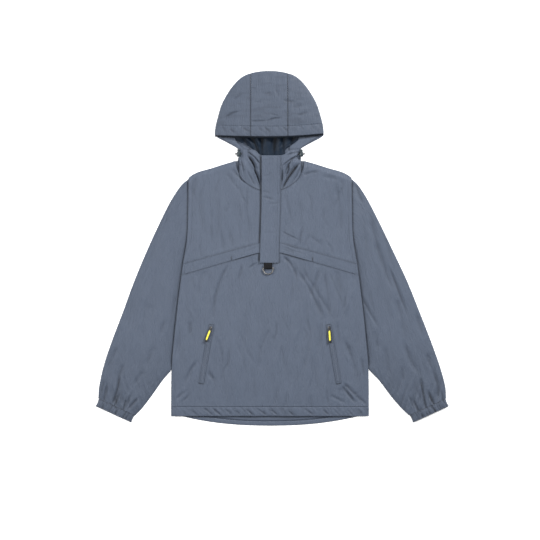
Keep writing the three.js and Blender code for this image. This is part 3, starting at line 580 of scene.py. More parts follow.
# %% Outline of the body
WALL, SEAM = 1.3, 0.3
EDGE_TOP = 2 * WALL + SEAM
LOWER_TOP, YOKE_TOP, FLAP_WALL = 6.4, 7.2, 1.1
EDGE_ROLL = 16
HEM_STITCH_Y, HEM_EDGE_Y, TAIL_DROP, TAIL_HALF, TAIL_POWER = -366, -391.5, 26, 240, 2.3
BACK_NECK_Y, SLEEVE_TUCK, GAP_POINT_Y, FRONT_GAP = 297, 7, -262, 3.2
NECK_HALF, NECK_DROP, NECK_Y = 92, 82, 296
HEM_HALF, SHOULDER_HALF, BACK_SHOULDER_HALF, TAIL_CASING = 267, 220, 213, 12
MEETING, FREE_EDGE = 0.04, 26.5
YOKE_STITCH, FLAP_STITCH, HOOD_STITCH = 3.0, 2.6, 3.2

side_of = curve([
    (-395, 267), (-262, 265.5), (-154, 256), (-81, 248), (5, 237), (89, 224), (175, 221), (250, 220),
])
shoulder_of = curve([(80, 301), (125, 288), (158, 277.5), (190, 268.5), (208, 260.5), (221, 251)])
placket_level = curve([(15, 11.0), (60, 10.3), (200, 10.4), (235, 12.0), (262, 14.2), (288, 16.6), (315, 18.2)])


def flap_top(x):
    return 75.6 - 0.276 * (np.maximum(np.abs(x), 27) - 27)


def flap_low(x):
    return 49.5 - 0.289 * (np.maximum(np.abs(x), 30) - 30)


def flap_edge(x):
    """The flap's lower edge, which waves a little."""
    return flap_low(x) + 0.5 * uneven(x / 25, 0 * x + 0.5, 21)


def tail_of(x):
    return HEM_EDGE_Y - TAIL_DROP * (1 - np.minimum(np.abs(x) / TAIL_HALF, 1) ** TAIL_POWER)


def neck_point(deg, inset):
    turn = np.radians(deg)
    return (NECK_HALF - inset) * np.sin(turn), NECK_Y - (NECK_DROP - inset) * np.cos(turn)


POCKET = {"top": (158, -146), "low": (185.3, -302.5), "width": 13, "lip": 3.2, "wall": 1.2}


def clear_of_trim(x, y):
    """0 where a pocket, a flap or the front opening lies on the panel, 1 well clear of them."""
    (top_x, top_y), (low_x, low_y) = POCKET["top"], POCKET["low"]
    across = np.abs(np.abs(x) - top_x - (top_y - y) / (top_y - low_y) * (low_x - top_x))
    beyond = np.maximum(np.maximum(y - top_y, low_y - y), 0)
    pocket = smooth(10, 20, np.hypot(across, beyond))
    flap = smooth(3, 14, np.maximum(y - flap_top(x), flap_low(x) - y))
    opening = np.maximum(smooth(32, 42, np.abs(x)), smooth(20, 34, -20 - y))
    return pocket * flap * opening


def beside_pocket(x, y):
    """1 along the sewn edge of a pocket's welt, falling off on both sides."""
    (top_x, top_y), (low_x, low_y) = POCKET["top"], POCKET["low"]
    length = math.hypot(low_x - top_x, low_y - top_y)
    run_x, run_y = (low_x - top_x) / length, (low_y - top_y) / length
    off_x, off_y = np.abs(x) - (top_x + low_x) / 2, y - (top_y + low_y) / 2
    along, across = off_x * run_x + off_y * run_y, off_x * run_y - off_y * run_x
    past_side = np.maximum(np.abs(across) - POCKET["width"] / 2, 0)
    past_end = np.maximum(np.abs(along) - length / 2, 0)
    return hump(np.hypot(past_side, past_end), 2.2)

# %% Height of the front
BROAD_FOLDS = [
    (28, 30, 66, -75, 15, 1.3), (-40, 12, -100, -90, 16, 0.9), (200, -120, 214, -290, 16, 1.2),
    (196, -318, 244, -352, 12, 1.2), (-205, -240, -240, -320, 16, 1.2), (100, -20, 140, -130, 16, 0.9),
    (-120, -140, -96, -330, 22, -0.8), (56, -60, 52, -340, 20, -0.6), (150, 230, 176, 110, 18, 0.9),
    (-150, 210, -164, 100, 20, 0.7),
]
FRONT_CREASES = [
    (31, 42, 73, -27, 9, 6, 1.5), (73, 3, 140, -131, 7, 7, 1.5), (81, 14, 170, -127, 0, 9, 0.9),
    (-111, 19, -154, -122, -10, 6, 1.2), (-35, 22, -57, 8, 0, 4, 0.9), (-197, -244, -231, -310, -4, 7, 1.5),
    (-230, -324, -254, -347, 0, 6, 0.9), (-215, -331, -238, -356, 0, 5, 0.7),
    (-173, -267, -148, -297, 0, 6, 0.8), (187, -298, 236, -362, -2, 4.6, 1.0),
    (192, -296, 266, -364, -2, 4.6, 1.3), (205, -310, 232, -351, 0, 5, -0.9), (200, -186, 236, -302, 5, 8, 1.3),
    (247, -235, 255, -289, 0, 5, 0.8), (143, 8, 159, -138, 4, 8, 0.8), (184, -3, 197, -127, 0, 9, 0.8),
    (94, -78, 108, -213, 0, 12, 0.5), (50, -54, 50, -297, 0, 4.5, -0.5), (-62, -78, -73, -219, 0, 14, 0.45),
    (-103, -159, -86, -327, 0, 14, -0.5), (-22, -78, -11, -308, 0, 16, 0.4),
    (113, -219, 130, -338, 0, 10, 0.6), (162, -335, 202, -356, 0, 6, 0.8), (-243, -159, -251, -219, 0, 8, 0.7),
    (-176, 3, -200, -78, 0, 10, 0.5),
]
YOKE_CREASES = [
    (89, 260, 134, 270, 0, 5, 0.9), (140, 256, 184, 248, 0, 8, 0.6), (178, 230, 189, 105, 4, 9, 0.9),
    (148, 219, 157, 94, 0, 10, 0.5), (81, 192, 89, 89, 0, 9, 0.5), (108, 94, 140, 70, 0, 7, 0.5),
    (-103, 278, -59, 235, -4, 6, 0.9), (-119, 267, -81, 213, 0, 7, 0.6), (-189, 230, -181, 105, -2, 10, 0.7),
    (-148, 240, -138, 84, 0, 12, 0.5), (-92, 192, -81, 89, 0, 10, 0.4), (-200, 256, -207, 202, 0, 5, 0.8),
    (-68, 176, -51, 94, 0, 8, 0.4), (40, 213, 59, 132, 0, 6, 0.7), (30, 107, 81, 82, 0, 1.8, 0.8),
]
chance = np.random.default_rng(17)
FINE_WRINKLES = []
for _ in range(110):
    x, y, length = chance.uniform(-238, 238), chance.uniform(-345, 250), chance.uniform(30, 95)
    lean, bow, width = chance.uniform(-0.45, 0.45), chance.uniform(-7, 7), chance.uniform(3.8, 6.5)
    depth = chance.uniform(0.2, 0.62) * (1 if chance.random() < 0.7 else -1)
    FINE_WRINKLES.append((x, y, x + lean * length, y - length, bow, width, depth))
BODY_CREASES = FRONT_CREASES + YOKE_CREASES + FINE_WRINKLES
SOFT_DEPTH, CRINKLE_DEPTH, CREASE_DEPTH, CREASE_SHARP = 0.8, 0.5, 2.3, 0.62


def soft_cloth(x, y, seed=3):
    """The cloth's own unevenness: broad soft hollows and narrower upright ones."""
    broad = uneven(x / 46, y / 88, seed)
    narrow = uneven(x / 13, y / 42, seed + 1)
    return SOFT_DEPTH * broad + CRINKLE_DEPTH * narrow


def placket_shift(y):
    """The placket leans a little: its lower end lies further to the left."""
    return -2.2 + 4.4 * smooth(20, 210, y)


def beside_placket(x, y):
    """1 just outside the placket's free edge, falling off on both sides."""
    return hump(x + FREE_EDGE - placket_shift(y), 3.2)


def front_top(x, y, level):
    from_side = side_of(y) - np.abs(x)
    from_shoulder = shoulder_of(np.abs(x)) - y
    free = smooth(GAP_POINT_Y + 25, GAP_POINT_Y - 25, y)
    side_drop = free * (1 - smooth(0, EDGE_ROLL, from_side))
    shoulder_drop = 1 - smooth(0, EDGE_ROLL, from_shoulder)
    drop = 1 - (1 - side_drop) * (1 - shoulder_drop)
    fine = CREASE_DEPTH * creases(x, y, BODY_CREASES, CREASE_SHARP) + soft_cloth(x, y)
    inside = smooth(1, 14, from_side) * smooth(2, 24, from_shoulder)
    lift = (0.8 * broad_folds(x, y, BROAD_FOLDS) + fine) * clear_of_trim(x, y) * inside
    pressed = hump(x + FREE_EDGE + 2 - placket_shift(y), 2.6)
    shut = -1.5 * pressed * smooth(21, 30, y) * smooth(-22, -30, x)
    return level - (level - EDGE_TOP) * drop + (lift + shut) * (1 - drop)


def front_hollow(x, y):
    """How much shade is painted on the front at a point: in its creases, along the pocket welts, and beside the
    placket's free edge.
    """
    lines = fold_shade(x, y, BODY_CREASES) * clear_of_trim(x, y)
    shut = 0.9 * beside_placket(x, y) * smooth(21, 30, y)
    return np.maximum(np.maximum(0.38 * lines, 0.3 * beside_pocket(x, y)), shut)


def groove(off, width=1.0, depth=0.5):
    """The dip that a row of stitches pulls into the cloth."""
    return -depth * hump(off, width)


ARMHOLE_STITCH = 11


def armhole_dip(y, from_side):
    """A rolled edge over the sleeve and its topstitching, from the shoulder to the underarm."""
    sewn = smooth(-30, 10, y)
    edge = 0.8 * hump(from_side - 4.0, 3.5) - 0.4 * hump(from_side, 1.6)
    return edge + sewn * groove(from_side - ARMHOLE_STITCH, 1.2, 0.65)


EDGE_STEPS = [0, 1.7, 3.4, 5.2, 7.2, 9.2, 10.2, 11, 11.8, 13, 15.5, 19, 23, 27.5, 32]

# %% [markdown]
# ## Back panel and its long hem
# The back lies flat on the surface and hangs lower than the front, so its hem shows as a curved strip. Its
# turned hem is a second layer.

# %% Back
def grid_of(x, y, z):
    return np.dstack(np.broadcast_arrays(x, y, z)).astype(float)


inset = SLEEVE_TUCK + 2 * SEAM
u = np.linspace(-1, 1, 120)[None, :]
v = np.linspace(0, 1, 130)[:, None]
low = tail_of(u * HEM_HALF) + TAIL_CASING
top_x = np.abs(u) * BACK_SHOULDER_HALF
top = np.where(top_x < NECK_HALF, BACK_NECK_Y - 0.05, shoulder_of(top_x))
y = low + v * (top - low)
half = side_of(y) - inset * smooth(GAP_POINT_Y - 40, GAP_POINT_Y - 8, y)
# Painted shadow of the front hem's edge on the back's tail.
shade = 0.5 * smooth(HEM_EDGE_Y - 5, HEM_EDGE_Y - 0.5, y) + 0 * u
shape = {"edge": (MEETING, MEETING, 0.45, 0.45), "hollow": shade}
add_cloth("back_panel", grid_of(u * half, y, WALL), WALL, ["back_body"], [], **shape)

u = np.linspace(-1, 1, 340)[None, :]
v = np.linspace(0, 1, 8)[:, None]
x = u * HEM_HALF
y = tail_of(x) + v * (TAIL_CASING - MEETING)
pucker = 0.28 * uneven(x / 7 + 3 * v, 0.5 + 0 * v, 9) * np.sin(np.pi * v)
hem = grid_of(x, y, WALL + 0.35 * np.sin(np.pi * v) + pucker)
# Painted shadow of the front hem's edge on the back's hem.
shade = 0.5 * smooth(HEM_EDGE_Y - 5, HEM_EDGE_Y - 0.5, y)
shape = {"edge": (0.45, MEETING, 0.45, 0.45), "inner": grid_of(x, y, 0), "hollow": shade}
add_cloth("back_hem", hem, WALL, ["hem_back"], ["back_panel"], **shape)

# %% [markdown]
# ## Lower front
# One panel runs from under the chest flaps to the casing at the hem. Columns crowd together near its sides,
# where the cloth rolls over the sleeve, and the folds that show in the picture are pressed into it.

# %% Lower front
def side_columns(y, steps, inner_count):
    """x for rows of one height: crowded near both sides and even between them."""
    half = side_of(y)
    left = -(half - steps[None, :])
    reach = half - steps[-1]
    between = np.linspace(-1, 1, inner_count + 2)[None, 1:-1] * reach
    return np.concatenate([left, between, -left[:, ::-1]], axis=1)


steps = np.array(EDGE_STEPS)
edge_count = len(steps)
nominal = side_columns(np.array([[0.0]]), steps, 186)[0] / side_of(0.0)
top = flap_top(nominal * 233) - 0.7 - 5.3 * smooth(229, 224, np.abs(nominal) * 233)
v = np.concatenate([[0, 0.0045, 0.009], np.linspace(0.016, 1, 166)])[:, None]
y = HEM_STITCH_Y + v * (top[None, :] - HEM_STITCH_Y)
half = side_of(y)
x = nominal[None, :] * half
x[:, :edge_count] = -(half[:, :edge_count] - steps)
x[:, -edge_count:] = half[:, -edge_count:] - steps[::-1]
from_side = half - np.abs(x)
z = front_top(x, y, LOWER_TOP) + armhole_dip(y, from_side)
# Painted shadow under the chest flaps' lower edge, where the vents stand open, and painted shade in the front's
# creases.
below_flap = (flap_low(x) - y) / 3.0
vent = smooth(24, 34, np.abs(x)) * (0.35 + 0.5 * smooth(118, 84, np.abs(x)))
under_flap = vent * np.exp(-(np.maximum(below_flap, 0) ** 2)) * smooth(-3, 0, below_flap)
hollow = np.maximum(front_hollow(x, y), 0.8 * under_flap)
over = ["back_panel", "left_sleeve", "right_sleeve"]
add_cloth("lower_front", grid_of(x, y, z), WALL, ["front_lower"], over, hollow=hollow)

# %% [markdown]
# ## Hem of the front
# The casing at the hem holds an elastic cord, so it is drawn into small puckers that slant down to the right.

# %% Front hem
HEM_WAVES, HEM_DEPTH = 24, 0.7
HEM_CREASES = [
    (-179, -370, -152, -390, 0, 1.8, 1.1), (-153, -372, -131, -390, 0, 1.8, 1.2),
    (-92, -377, -81, -386, 0, 1.8, 0.8), (-66, -372, -45, -389, 0, 1.8, 1.2),
    (-34, -372, -9, -389, 0, 1.8, 1.2), (0, -373, 20, -389, 0, 1.8, 1.2), (49, -377, 64, -390, 0, 1.8, 1.0),
    (93, -370, 118, -390, 0, 1.8, 1.2), (208, -373, 223, -390, 0, 1.8, 1.0),
    (-119, -373, -103, -387, 0, 1.8, 0.5), (140, -373, 159, -388, 0, 1.8, 0.6),
    (173, -375, 186, -387, 0, 1.8, 0.5), (-216, -373, -202, -386, 0, 1.8, 0.5),
    (238, -373, 248, -386, 0, 1.8, 0.5),
]
u = np.linspace(-1, 1, 420)[None, :]
v = np.array([0, 0.08, 0.16, 0.26, 0.36, 0.47, 0.58, 0.68, 0.78, 0.86, 0.93, 1])[:, None]
y = HEM_EDGE_Y + v * (HEM_STITCH_Y - SEAM - HEM_EDGE_Y) + 0 * u
x = u * side_of(y)
wave = np.cos(np.pi * (HEM_WAVES * u + 1 - v)) * (1 - np.abs(u)) * (1 - v)
slant = uneven((x + 0.8 * y) / 5.5, y / 26, 11) + 0.5 * uneven((x + 0.8 * y) / 2.6, y / 15, 12)
puff = 0.55 * np.sin(np.pi * v) ** 0.7
z = front_top(x, y, LOWER_TOP) + HEM_DEPTH * 0.45 * wave + 0.62 * slant * np.sin(np.pi * v) ** 0.5
z = z + puff + 2.2 * creases(x, y, HEM_CREASES)
y_edge = y + 0.5 * uneven(x / 14, 0 * x + 0.5, 13) * (1 - v)
# Painted shade in the puckers and creases of the hem.
hollow = 0.42 * fold_shade(x, y, HEM_CREASES, 1.8) + 0.3 * np.maximum(-slant, 0) * np.sin(np.pi * v) ** 0.5
add_cloth("front_hem", grid_of(x, y_edge, z), WALL, ["hem_front"], ["back_panel", "back_hem"], hollow=hollow)

# %% [markdown]
# ## Yokes
# The upper fronts run from the placket to the armholes, and from the chest flaps up to the shoulders and the
# neck seam. Their tops turn down over the shoulders to the back panel.

# %% Yokes
def yoke_columns():
    start = math.degrees(math.asin(FRONT_GAP / NECK_HALF))
    neck = np.stack(neck_point(np.linspace(start, 90, 56), 0), 1)
    reach = SHOULDER_HALF - np.array(EDGE_STEPS[::-1])
    out = np.concatenate([np.linspace(NECK_HALF, reach[0], 44)[1:-1], reach])
    return np.concatenate([neck, np.stack([out, shoulder_of(out)], 1)])


columns = yoke_columns()
v = np.concatenate([[0, 0.0015, 0.009, 0.018], np.linspace(0.03, 0.97, 100), [0.985, 0.998, 1]])[:, None]
for side, sign in SIDES:
    top_x, top_y = columns[None, :, 0], columns[None, :, 1]
    share = (top_x - FRONT_GAP) / (SHOULDER_HALF - FRONT_GAP)
    low = flap_top(top_x)
    for _ in range(3):
        low = flap_top(FRONT_GAP + share * (side_of(low) - FRONT_GAP))
    y = low + v * (top_y - low)
    x = FRONT_GAP + share * (side_of(y) - FRONT_GAP)
    from_side = side_of(y) - x
    level = YOKE_TOP + 0.5 * (1 - smooth(0, 30, y - low))
    z = front_top(sign * x, y, level) + armhole_dip(y, from_side)
    z = z + groove(y - low - YOKE_STITCH, 1.0, 0.4) * smooth(30, 44, x)
    neck_roll = 2.6 * smooth(9, 0, top_y - y) * smooth(60, 80, top_x) * smooth(96, 90, top_x)
    z = np.maximum(z - neck_roll, EDGE_TOP)
    # Painted shade along the seam under the yoke, its row of stitches and the neck seam.
    seams = 0.38 * hump(y - low, 1.5) + 0.2 * hump(y - low - YOKE_STITCH, 1.1) * smooth(30, 44, x)
    neck = 0.4 * hump(top_y - y, 1.5) * smooth(NECK_HALF - 2, NECK_HALF - 40, top_x)
    hollow = np.maximum(front_hollow(sign * x, y), np.maximum(seams, neck))
    shape = {"edge": (0.02, 0.12, 0.45, 0.45), "hollow": hollow}
    under = ["back_panel", f"{side}_sleeve"]
    add_cloth(f"{side}_yoke", grid_of(sign * x, y, z), WALL, [f"yoke_{side}"], under, **shape)

# %% [markdown]
# ## Chest flaps
# A folded strip hangs from each yoke's edge. Between the placket and a bar tack it is open, as a vent, so its
# lower edge stands up and throws a dark line there, which is also painted as shade on the lower front. Beyond
# the bar tack it is pressed down.

# %% Chest flaps
FLAP_LEVEL = LOWER_TOP + SEAM + FLAP_WALL
BAR_TACK = {"left": -103.7, "right": 114.5}
FLAP_CREASES = {
    "left": [(-34, 66, -70, 52, 0, 1.6, 0.5)],
    "right": [(27, 77, 81, 57, 0, 1.7, 1.0), (31, 66, 94, 46, 0, 1.7, 0.9), (34, 58, 70, 49, 0, 1.5, 0.7)],
}
x = np.concatenate([np.linspace(18, 130, 60), np.linspace(132, 231, 48)])[None, :]
v = np.array([0, 0.06, 0.12, 0.2, 0.3, 0.4, 0.5, 0.6, 0.7, 0.78, 0.85, 0.91, 0.95, 0.988, 1])[:, None]
for side, sign in SIDES:
    tack = abs(BAR_TACK[side])
    low = flap_edge(x)
    y = low + v * (flap_top(x) - 0.03 - low)
    vent = smooth(22, 40, x) * smooth(tack, tack - 26, x)
    lift = (1.7 * vent - 0.25) * smooth(1, 0.1, v)
    held = 0.16 * uneven(x / 9, 6 * v, 22) * np.sin(np.pi * v)
    sewn = groove(y - low - FLAP_STITCH, 0.8, 0.3) + groove(x - tack, 2.0, 0.5) * smooth(0.5, 0.2, v)
    z = FLAP_LEVEL + lift + held + sewn + creases(sign * x, y, FLAP_CREASES[side])
    z = np.maximum(z, LOWER_TOP + SEAM + 0.75)
    name = f"{side}_chest_flap"
    # Painted shade in the flap's creases, in the dimple at the bar tack and along the flap's top edge.
    tack_shade = 0.6 * hump(x - tack, 1.8) * smooth(0.62, 0.3, v)
    folded = 0.5 * fold_shade(sign * x, y, FLAP_CREASES[side], 1.6)
    hollow = np.maximum(folded, np.maximum(tack_shade, 0.35 * smooth(0.93, 1, v)))
    grid = grid_of(sign * x, y, z)
    shape = {"edge": (0.35, 0.01, 0.45, 0.45), "hollow": hollow}
    add_cloth(name, grid, FLAP_WALL, [f"chest_flap_{side}"], ["lower_front"], **shape)

# %% [markdown]
# ## Placket
# The storm placket is a doubled strip over the front zip. It is sewn down along one side with two rows of
# stitches, and its other edge is free, so that edge stands up and shows as a sharp dark line, partly its own
# shadow and partly shade painted onto the cloth beside it.

# %% Placket
PLACKET = {"left": -25, "right": 27, "low": 21.6, "high": 311, "wall": 2.0, "hem": 2.6}
PLACKET_WIDTH = PLACKET["right"] - PLACKET["left"]
PLACKET_CREASES = [
    (-22, 298, 27, 301, 0, 3, 0.25), (-20, 215, 0, 211, 0, 3, 0.5), (-20, 200, 11, 192, 0, 3, 0.6),
    (-5, 180, 24, 184, 0, 3, 0.45), (-19, 256, 3, 259, 0, 3, 0.3), (-14, 105, 16, 103, 0, 4, 0.3),
]
PLACKET_STITCHES = (3.2, 8.4)


def placket_top(across, y):
    """Height of the strip. across is 0 at its free edge and the strip's width at its sewn edge."""
    from_sewn = PLACKET_WIDTH - across
    sewn = -1.1 * hump(from_sewn, 3.0)
    for row in PLACKET_STITCHES:
        sewn = sewn + groove(from_sewn - row, 1.0, 0.5)
    free = 1.9 * hump(across, 5.0) - 0.3 * hump(across, 1.6)
    ends = groove(y - PLACKET["low"] - PLACKET["hem"], 0.8, 0.3)
    x = PLACKET["left"] + across + placket_shift(y)
    soft = 0.34 * uneven(x / 17, y / 40, 31) + 0.22 * uneven(x / 9, y / 13, 32)
    return placket_level(y) + sewn + free + ends + soft + 1.6 * creases(x, y, PLACKET_CREASES)


near_stitches = [42.4, 43, 43.6, 44.3, 45.6, 47, 48, 48.8, 49.6, 50.4, 52]
across = np.concatenate([[0, 1.6], np.linspace(3.2, 41, 22), near_stitches])
y = np.concatenate([[PLACKET["low"], 23.2], np.linspace(24.2, 309, 168), [PLACKET["high"]]])[:, None]
x = PLACKET["left"] + across[None, :] + placket_shift(y)
z = placket_top(across[None, :], y)
over = ["left_yoke", "right_yoke", "left_throat", "right_throat"]
# Painted shade in the placket's creases and along its sewn edge.
hollow = 0.5 * fold_shade(x, y, PLACKET_CREASES, 2.0) + 0.5 * hump(across[None, :] - 51.6, 1.0)
add_cloth("storm_placket", grid_of(x, y, z), PLACKET["wall"], ["placket"], over, hollow=hollow)

# %% [markdown]
# ## Hood
# The hood has a strip along its middle and a side panel on each side. Its front layer is a low dome that
# ends in a brim, where a turned hem holds the drawcord. The back layer lies flat. Between them the lining
# shows, dark in its own colour and darker still with painted shade, and at both ends of the brim the turned
# hem of the face opening shows its shell side.

# %% Outline of the hood
HOOD_X, HOOD_Y, HOOD_HEIGHT, HOOD_STRIP = -2, 366, 19, 50
BRIM_SAG, BRIM_LIFT, BRIM_HEM = 4, 5, 27
hood_radius = curve([
    (0, 147), (20, 147.5), (35, 154), (45, 159.5), (52, 164.5), (59, 170), (66, 174.5), (73, 175), (90, 174),
])
hood_lower = curve([
    (298, 86), (306, 83), (324, 82), (331, 86.5), (341, 103.5), (350, 120.5), (358, 136), (366, 147),
])
turns = np.linspace(0, 80, 2000)
RISE, REACH = hood_radius(turns) * np.sin(np.radians(turns)), hood_radius(turns) * np.cos(np.radians(turns))


def hood_half(y):
    return np.where(y <= HOOD_Y, hood_lower(y), np.interp(y - HOOD_Y, RISE, REACH))


def hood_crown(x):
    deg = np.degrees(np.arccos(np.minimum(np.abs(x) / 175, 1)))
    return HOOD_Y + np.sqrt(hood_radius(deg) ** 2 - x**2)


def brim_of(x):
    return HOOD_Y - BRIM_SAG * (1 - (x / 147) ** 2) + BRIM_LIFT * (np.maximum(x, 0) / 147) ** 2


HOOD_FOLDS = [
    (-47, 404, 28, 409, 7, 0.5), (-115, 415, -78, 431, 9, 0.6),
    (-96, 464, -84, 472, 9, 0.7), (60, 470, 96, 452, 14, 0.7),
]
HOOD_CREASES = [
    (-52, 403, -4, 404, 0, 2.4, 1.0), (-5, 404, 30, 410, 3, 2.4, 0.9), (4, 422, 24, 416, 0, 2.4, 0.7),
    (-122, 413, -80, 430, 3, 3.5, 1.0), (-100, 462, -81, 473, 0, 5, 0.7), (-51, 492, -38, 492, 0, 2.5, 0.6),
    (-19, 478, 5, 479, 0, 5, 0.5), (-43, 454, -22, 455, 0, 4, 0.5), (35, 459, 68, 455, 0, 4, 0.6),
    (16, 489, 24, 467, 0, 4, 0.5), (59, 440, 89, 446, 0, 5, 0.5), (70, 416, 105, 429, 0, 5, 0.5),
    (-109, 383, -97, 371, 0, 2.4, 0.8), (-73, 386, -54, 371, 0, 2.4, 0.8), (-14, 385, 3, 371, 0, 2.4, 0.8),
    (35, 386, 49, 374, 0, 2.4, 0.8), (-32, 385, -22, 375, 0, 2.4, 0.6), (81, 392, 92, 378, 0, 2.4, 0.5),
    (111, 394, 119, 381, 0, 2.4, 0.5), (-130, 392, -122, 375, 0, 2.4, 0.5),
]


def brim_pucker(x, y):
    """Slanted puckers of the brim's hem, between -1 and 1."""
    return uneven((x + 0.9 * y) / 7, y / 24, 41)


def hood_top(x, y):
    up = np.maximum(y - HOOD_Y, 0)
    deg = np.minimum(np.degrees(np.arctan2(up, np.abs(x))), 90)
    share = np.minimum(np.hypot(x, up) / hood_radius(deg), 1)
    dome = EDGE_TOP + (HOOD_HEIGHT - EDGE_TOP) * np.sqrt(1 - share**2)
    from_brim = y - brim_of(x)
    band = smooth(BRIM_HEM + 2, BRIM_HEM - 4, from_brim)
    puff = 0.8 * band * np.sin(np.pi * np.clip(from_brim / BRIM_HEM, 0, 1)) ** 0.8
    slant = brim_pucker(x, y) + 0.5 * uneven((x + 0.9 * y) / 3.2, y / 13, 42)
    fine = 0.4 * band * slant + 0.6 * uneven(x / 34, y / 26, 43) + 0.34 * uneven(x / 15, y / 9, 44)
    fine = fine + broad_folds(x, y, HOOD_FOLDS) + 2.4 * creases(x + HOOD_X, y, HOOD_CREASES, 0.75)
    seam = groove(np.abs(x) - HOOD_STRIP - HOOD_STITCH, 0.9, 0.3) + groove(from_brim - BRIM_HEM, 1.1, 0.75)
    return dome + (puff + fine + seam) * smooth(1, 0.9, share)

# %% Front layer of the hood
BRIM_STEPS = np.array([
    0, 1.6, 3.2, 5.2, 7.4, 9.8, 12.2, 14.6, 17, 19.4, 21.6, 23.6, 25.2, 26.2, 27, 27.8, 28.8, 30.4, 32.6, 35,
])
BRIM_REACH = 35
half = HOOD_STRIP - SEAM / 2
x = np.concatenate([[-half, 1.6 - half], np.linspace(3.2 - half, half - 3.2, 52), [half - 1.6, half]])[None, :]
shares = 1 - (1 - np.linspace(0, 1, 118)[1:, None]) ** 1.7
span = hood_crown(x) - brim_of(x)
steps = np.concatenate([BRIM_STEPS[:, None] + 0 * x, BRIM_REACH + shares * (span - BRIM_REACH)])
y = brim_of(x) + steps
strip = grid_of(x + HOOD_X, y, hood_top(x + 0 * y, y))


def hood_hollow(x, y):
    """How much shade is painted on the hood: a little all over, more in its creases, between the puckers of its
    hem and along its seams.
    """
    from_brim = y - brim_of(x)
    slant = brim_pucker(x, y) * smooth(BRIM_HEM + 2, BRIM_HEM - 4, from_brim)
    level = uneven(x / 26, y / 5.5, 46) * smooth(BRIM_HEM - 2, BRIM_HEM + 6, from_brim)
    soft = 0.13 + 0.2 * np.maximum(-slant, 0) + 0.2 * np.maximum(-level, 0)
    seam = 0.6 * hump(np.abs(x) - HOOD_STRIP, 1.4) + 0.34 * hump(from_brim - BRIM_HEM, 1.3)
    return np.maximum(soft + 0.42 * fold_shade(x + HOOD_X, y, HOOD_CREASES, 1.8), seam)


shape = {"edge": (0.45, 0.45, 0.8, 0.8), "hollow": hood_hollow(x, y)}
add_cloth("hood_strip_upper", strip, WALL, ["hood_strip_front"], ["hood_lining_cloth"], **shape)

TIP_Y = hood_crown(HOOD_STRIP + 1.5)
shares = 1 - (1 - np.linspace(0, 0.985, 100)[1:]) ** 1.7
rise = np.concatenate([BRIM_STEPS, BRIM_REACH + (TIP_Y - HOOD_Y - BRIM_REACH) * shares])
v = (rise / (TIP_Y - HOOD_Y))[:, None]
for side, sign in SIDES:
    start = HOOD_STRIP + SEAM / 2
    level = HOOD_Y + v * (TIP_Y - HOOD_Y)
    reach = hood_half(level) - start
    share = np.concatenate([[0, 0.016, 0.033, 0.05], np.linspace(0.07, 0.94, 50), [0.96, 0.98, 1]])[None, :]
    x = sign * (start + share * reach)
    y = level + (brim_of(x) - HOOD_Y) * (1 - v) ** 2
    panel = grid_of(x + HOOD_X, y, hood_top(x, y))
    shape = {"edge": (0.45, 0.45, 0.8, 0.45), "hollow": hood_hollow(x, y)}
    under = ["hood_lining_cloth"]
    add_cloth(f"hood_{side}_upper", panel, WALL, [f"hood_side_{side}_front"], under, **shape)

# %% [markdown]
# The dark lining of the front layer is turned up inside the brim, and its edge peeps out below the shell. The
# strip is painted almost black, as painted shadow under the brim.

# %% Lining edge at the brim
BRIM_LINING_WALL = 0.8
x = np.linspace(-146.2, 146.2, 150)[None, :]
drop = np.array([-4.0, -2.0, 0.3, 2.5, 6, 11])[:, None]
y = brim_of(x) + drop
z = hood_top(x, np.maximum(y, brim_of(x) + 0.5)) - WALL - 0.35
z = np.maximum(z, 3.6)
edge = grid_of(x + HOOD_X, y, z)
# Painted shadow: the strip's colour is darkened almost to black.
add_cloth("brim_lining_and_shadow", edge, BRIM_LINING_WALL, [], ["hood_strip_upper"], lining, "lining", hollow=0.85)

# %% Back layer of the hood
half = HOOD_STRIP - MEETING
x = np.linspace(-half, half, 30)[None, :]
v = np.linspace(0, 1, 60)[:, None]
low = BACK_NECK_Y + 0.05
y = low + v * (hood_crown(x) - low)
flush = (MEETING, 0.45, MEETING, MEETING)
add_cloth("hood_strip_under", grid_of(x + HOOD_X, y, WALL), WALL, ["hood_strip_back"], [], edge=flush)
crown = HOOD_Y + np.sin(np.linspace(0, 1.535, 46)[1:]) * (TIP_Y - HOOD_Y)
y = np.concatenate([np.linspace(low, HOOD_Y, 30), crown])[:, None]
start = HOOD_STRIP + MEETING
across = start + np.linspace(0, 1, 24)[None, :] * (hood_half(y) - start)
flush = (MEETING, 0.45, MEETING, 0.45)
for side, sign in SIDES:
    panel = grid_of(sign * across + HOOD_X, y, WALL)
    add_cloth(f"hood_{side}_under", panel, WALL, [f"hood_side_{side}_back"], [], edge=flush)

# %% Lining in the face opening
LINING_CREASES = [
    (-52, 364, -29, 314, 2, 4.2, 2.4), (-62, 360, -44, 326, 2, 4, -1.2), (-21, 366, -22, 312, 0, 4.2, 2.6),
    (-8, 366, -7, 312, 0, 6, -1.6), (14, 366, 11, 312, 0, 5.4, 3.0), (27, 366, 25, 316, 0, 4, -1.4),
    (37, 366, 36, 316, 0, 3.4, 2.0), (51, 364, 49, 324, 0, 4, -1.2), (-76, 362, -56, 330, 2, 3.6, 1.4),
    (66, 362, 56, 333, -1, 3.4, 1.8), (-36, 366, -27, 330, 0, 3.4, -1.0),
]
y = np.linspace(BACK_NECK_Y + 5, HOOD_Y + 100, 80)[:, None]
half = hood_half(y) - 27 * smooth(HOOD_Y + 30, HOOD_Y - 30, y) - 12
u = np.linspace(-1, 1, 150)[None, :]
x = u * half
wave = np.cos(np.pi * 6 * u) * (1 - u * u) * smooth(HOOD_Y + 40, HOOD_Y - 20, y)
edge = smooth(1, 0.9, np.abs(u))
folds = creases(x + HOOD_X, y, LINING_CREASES)
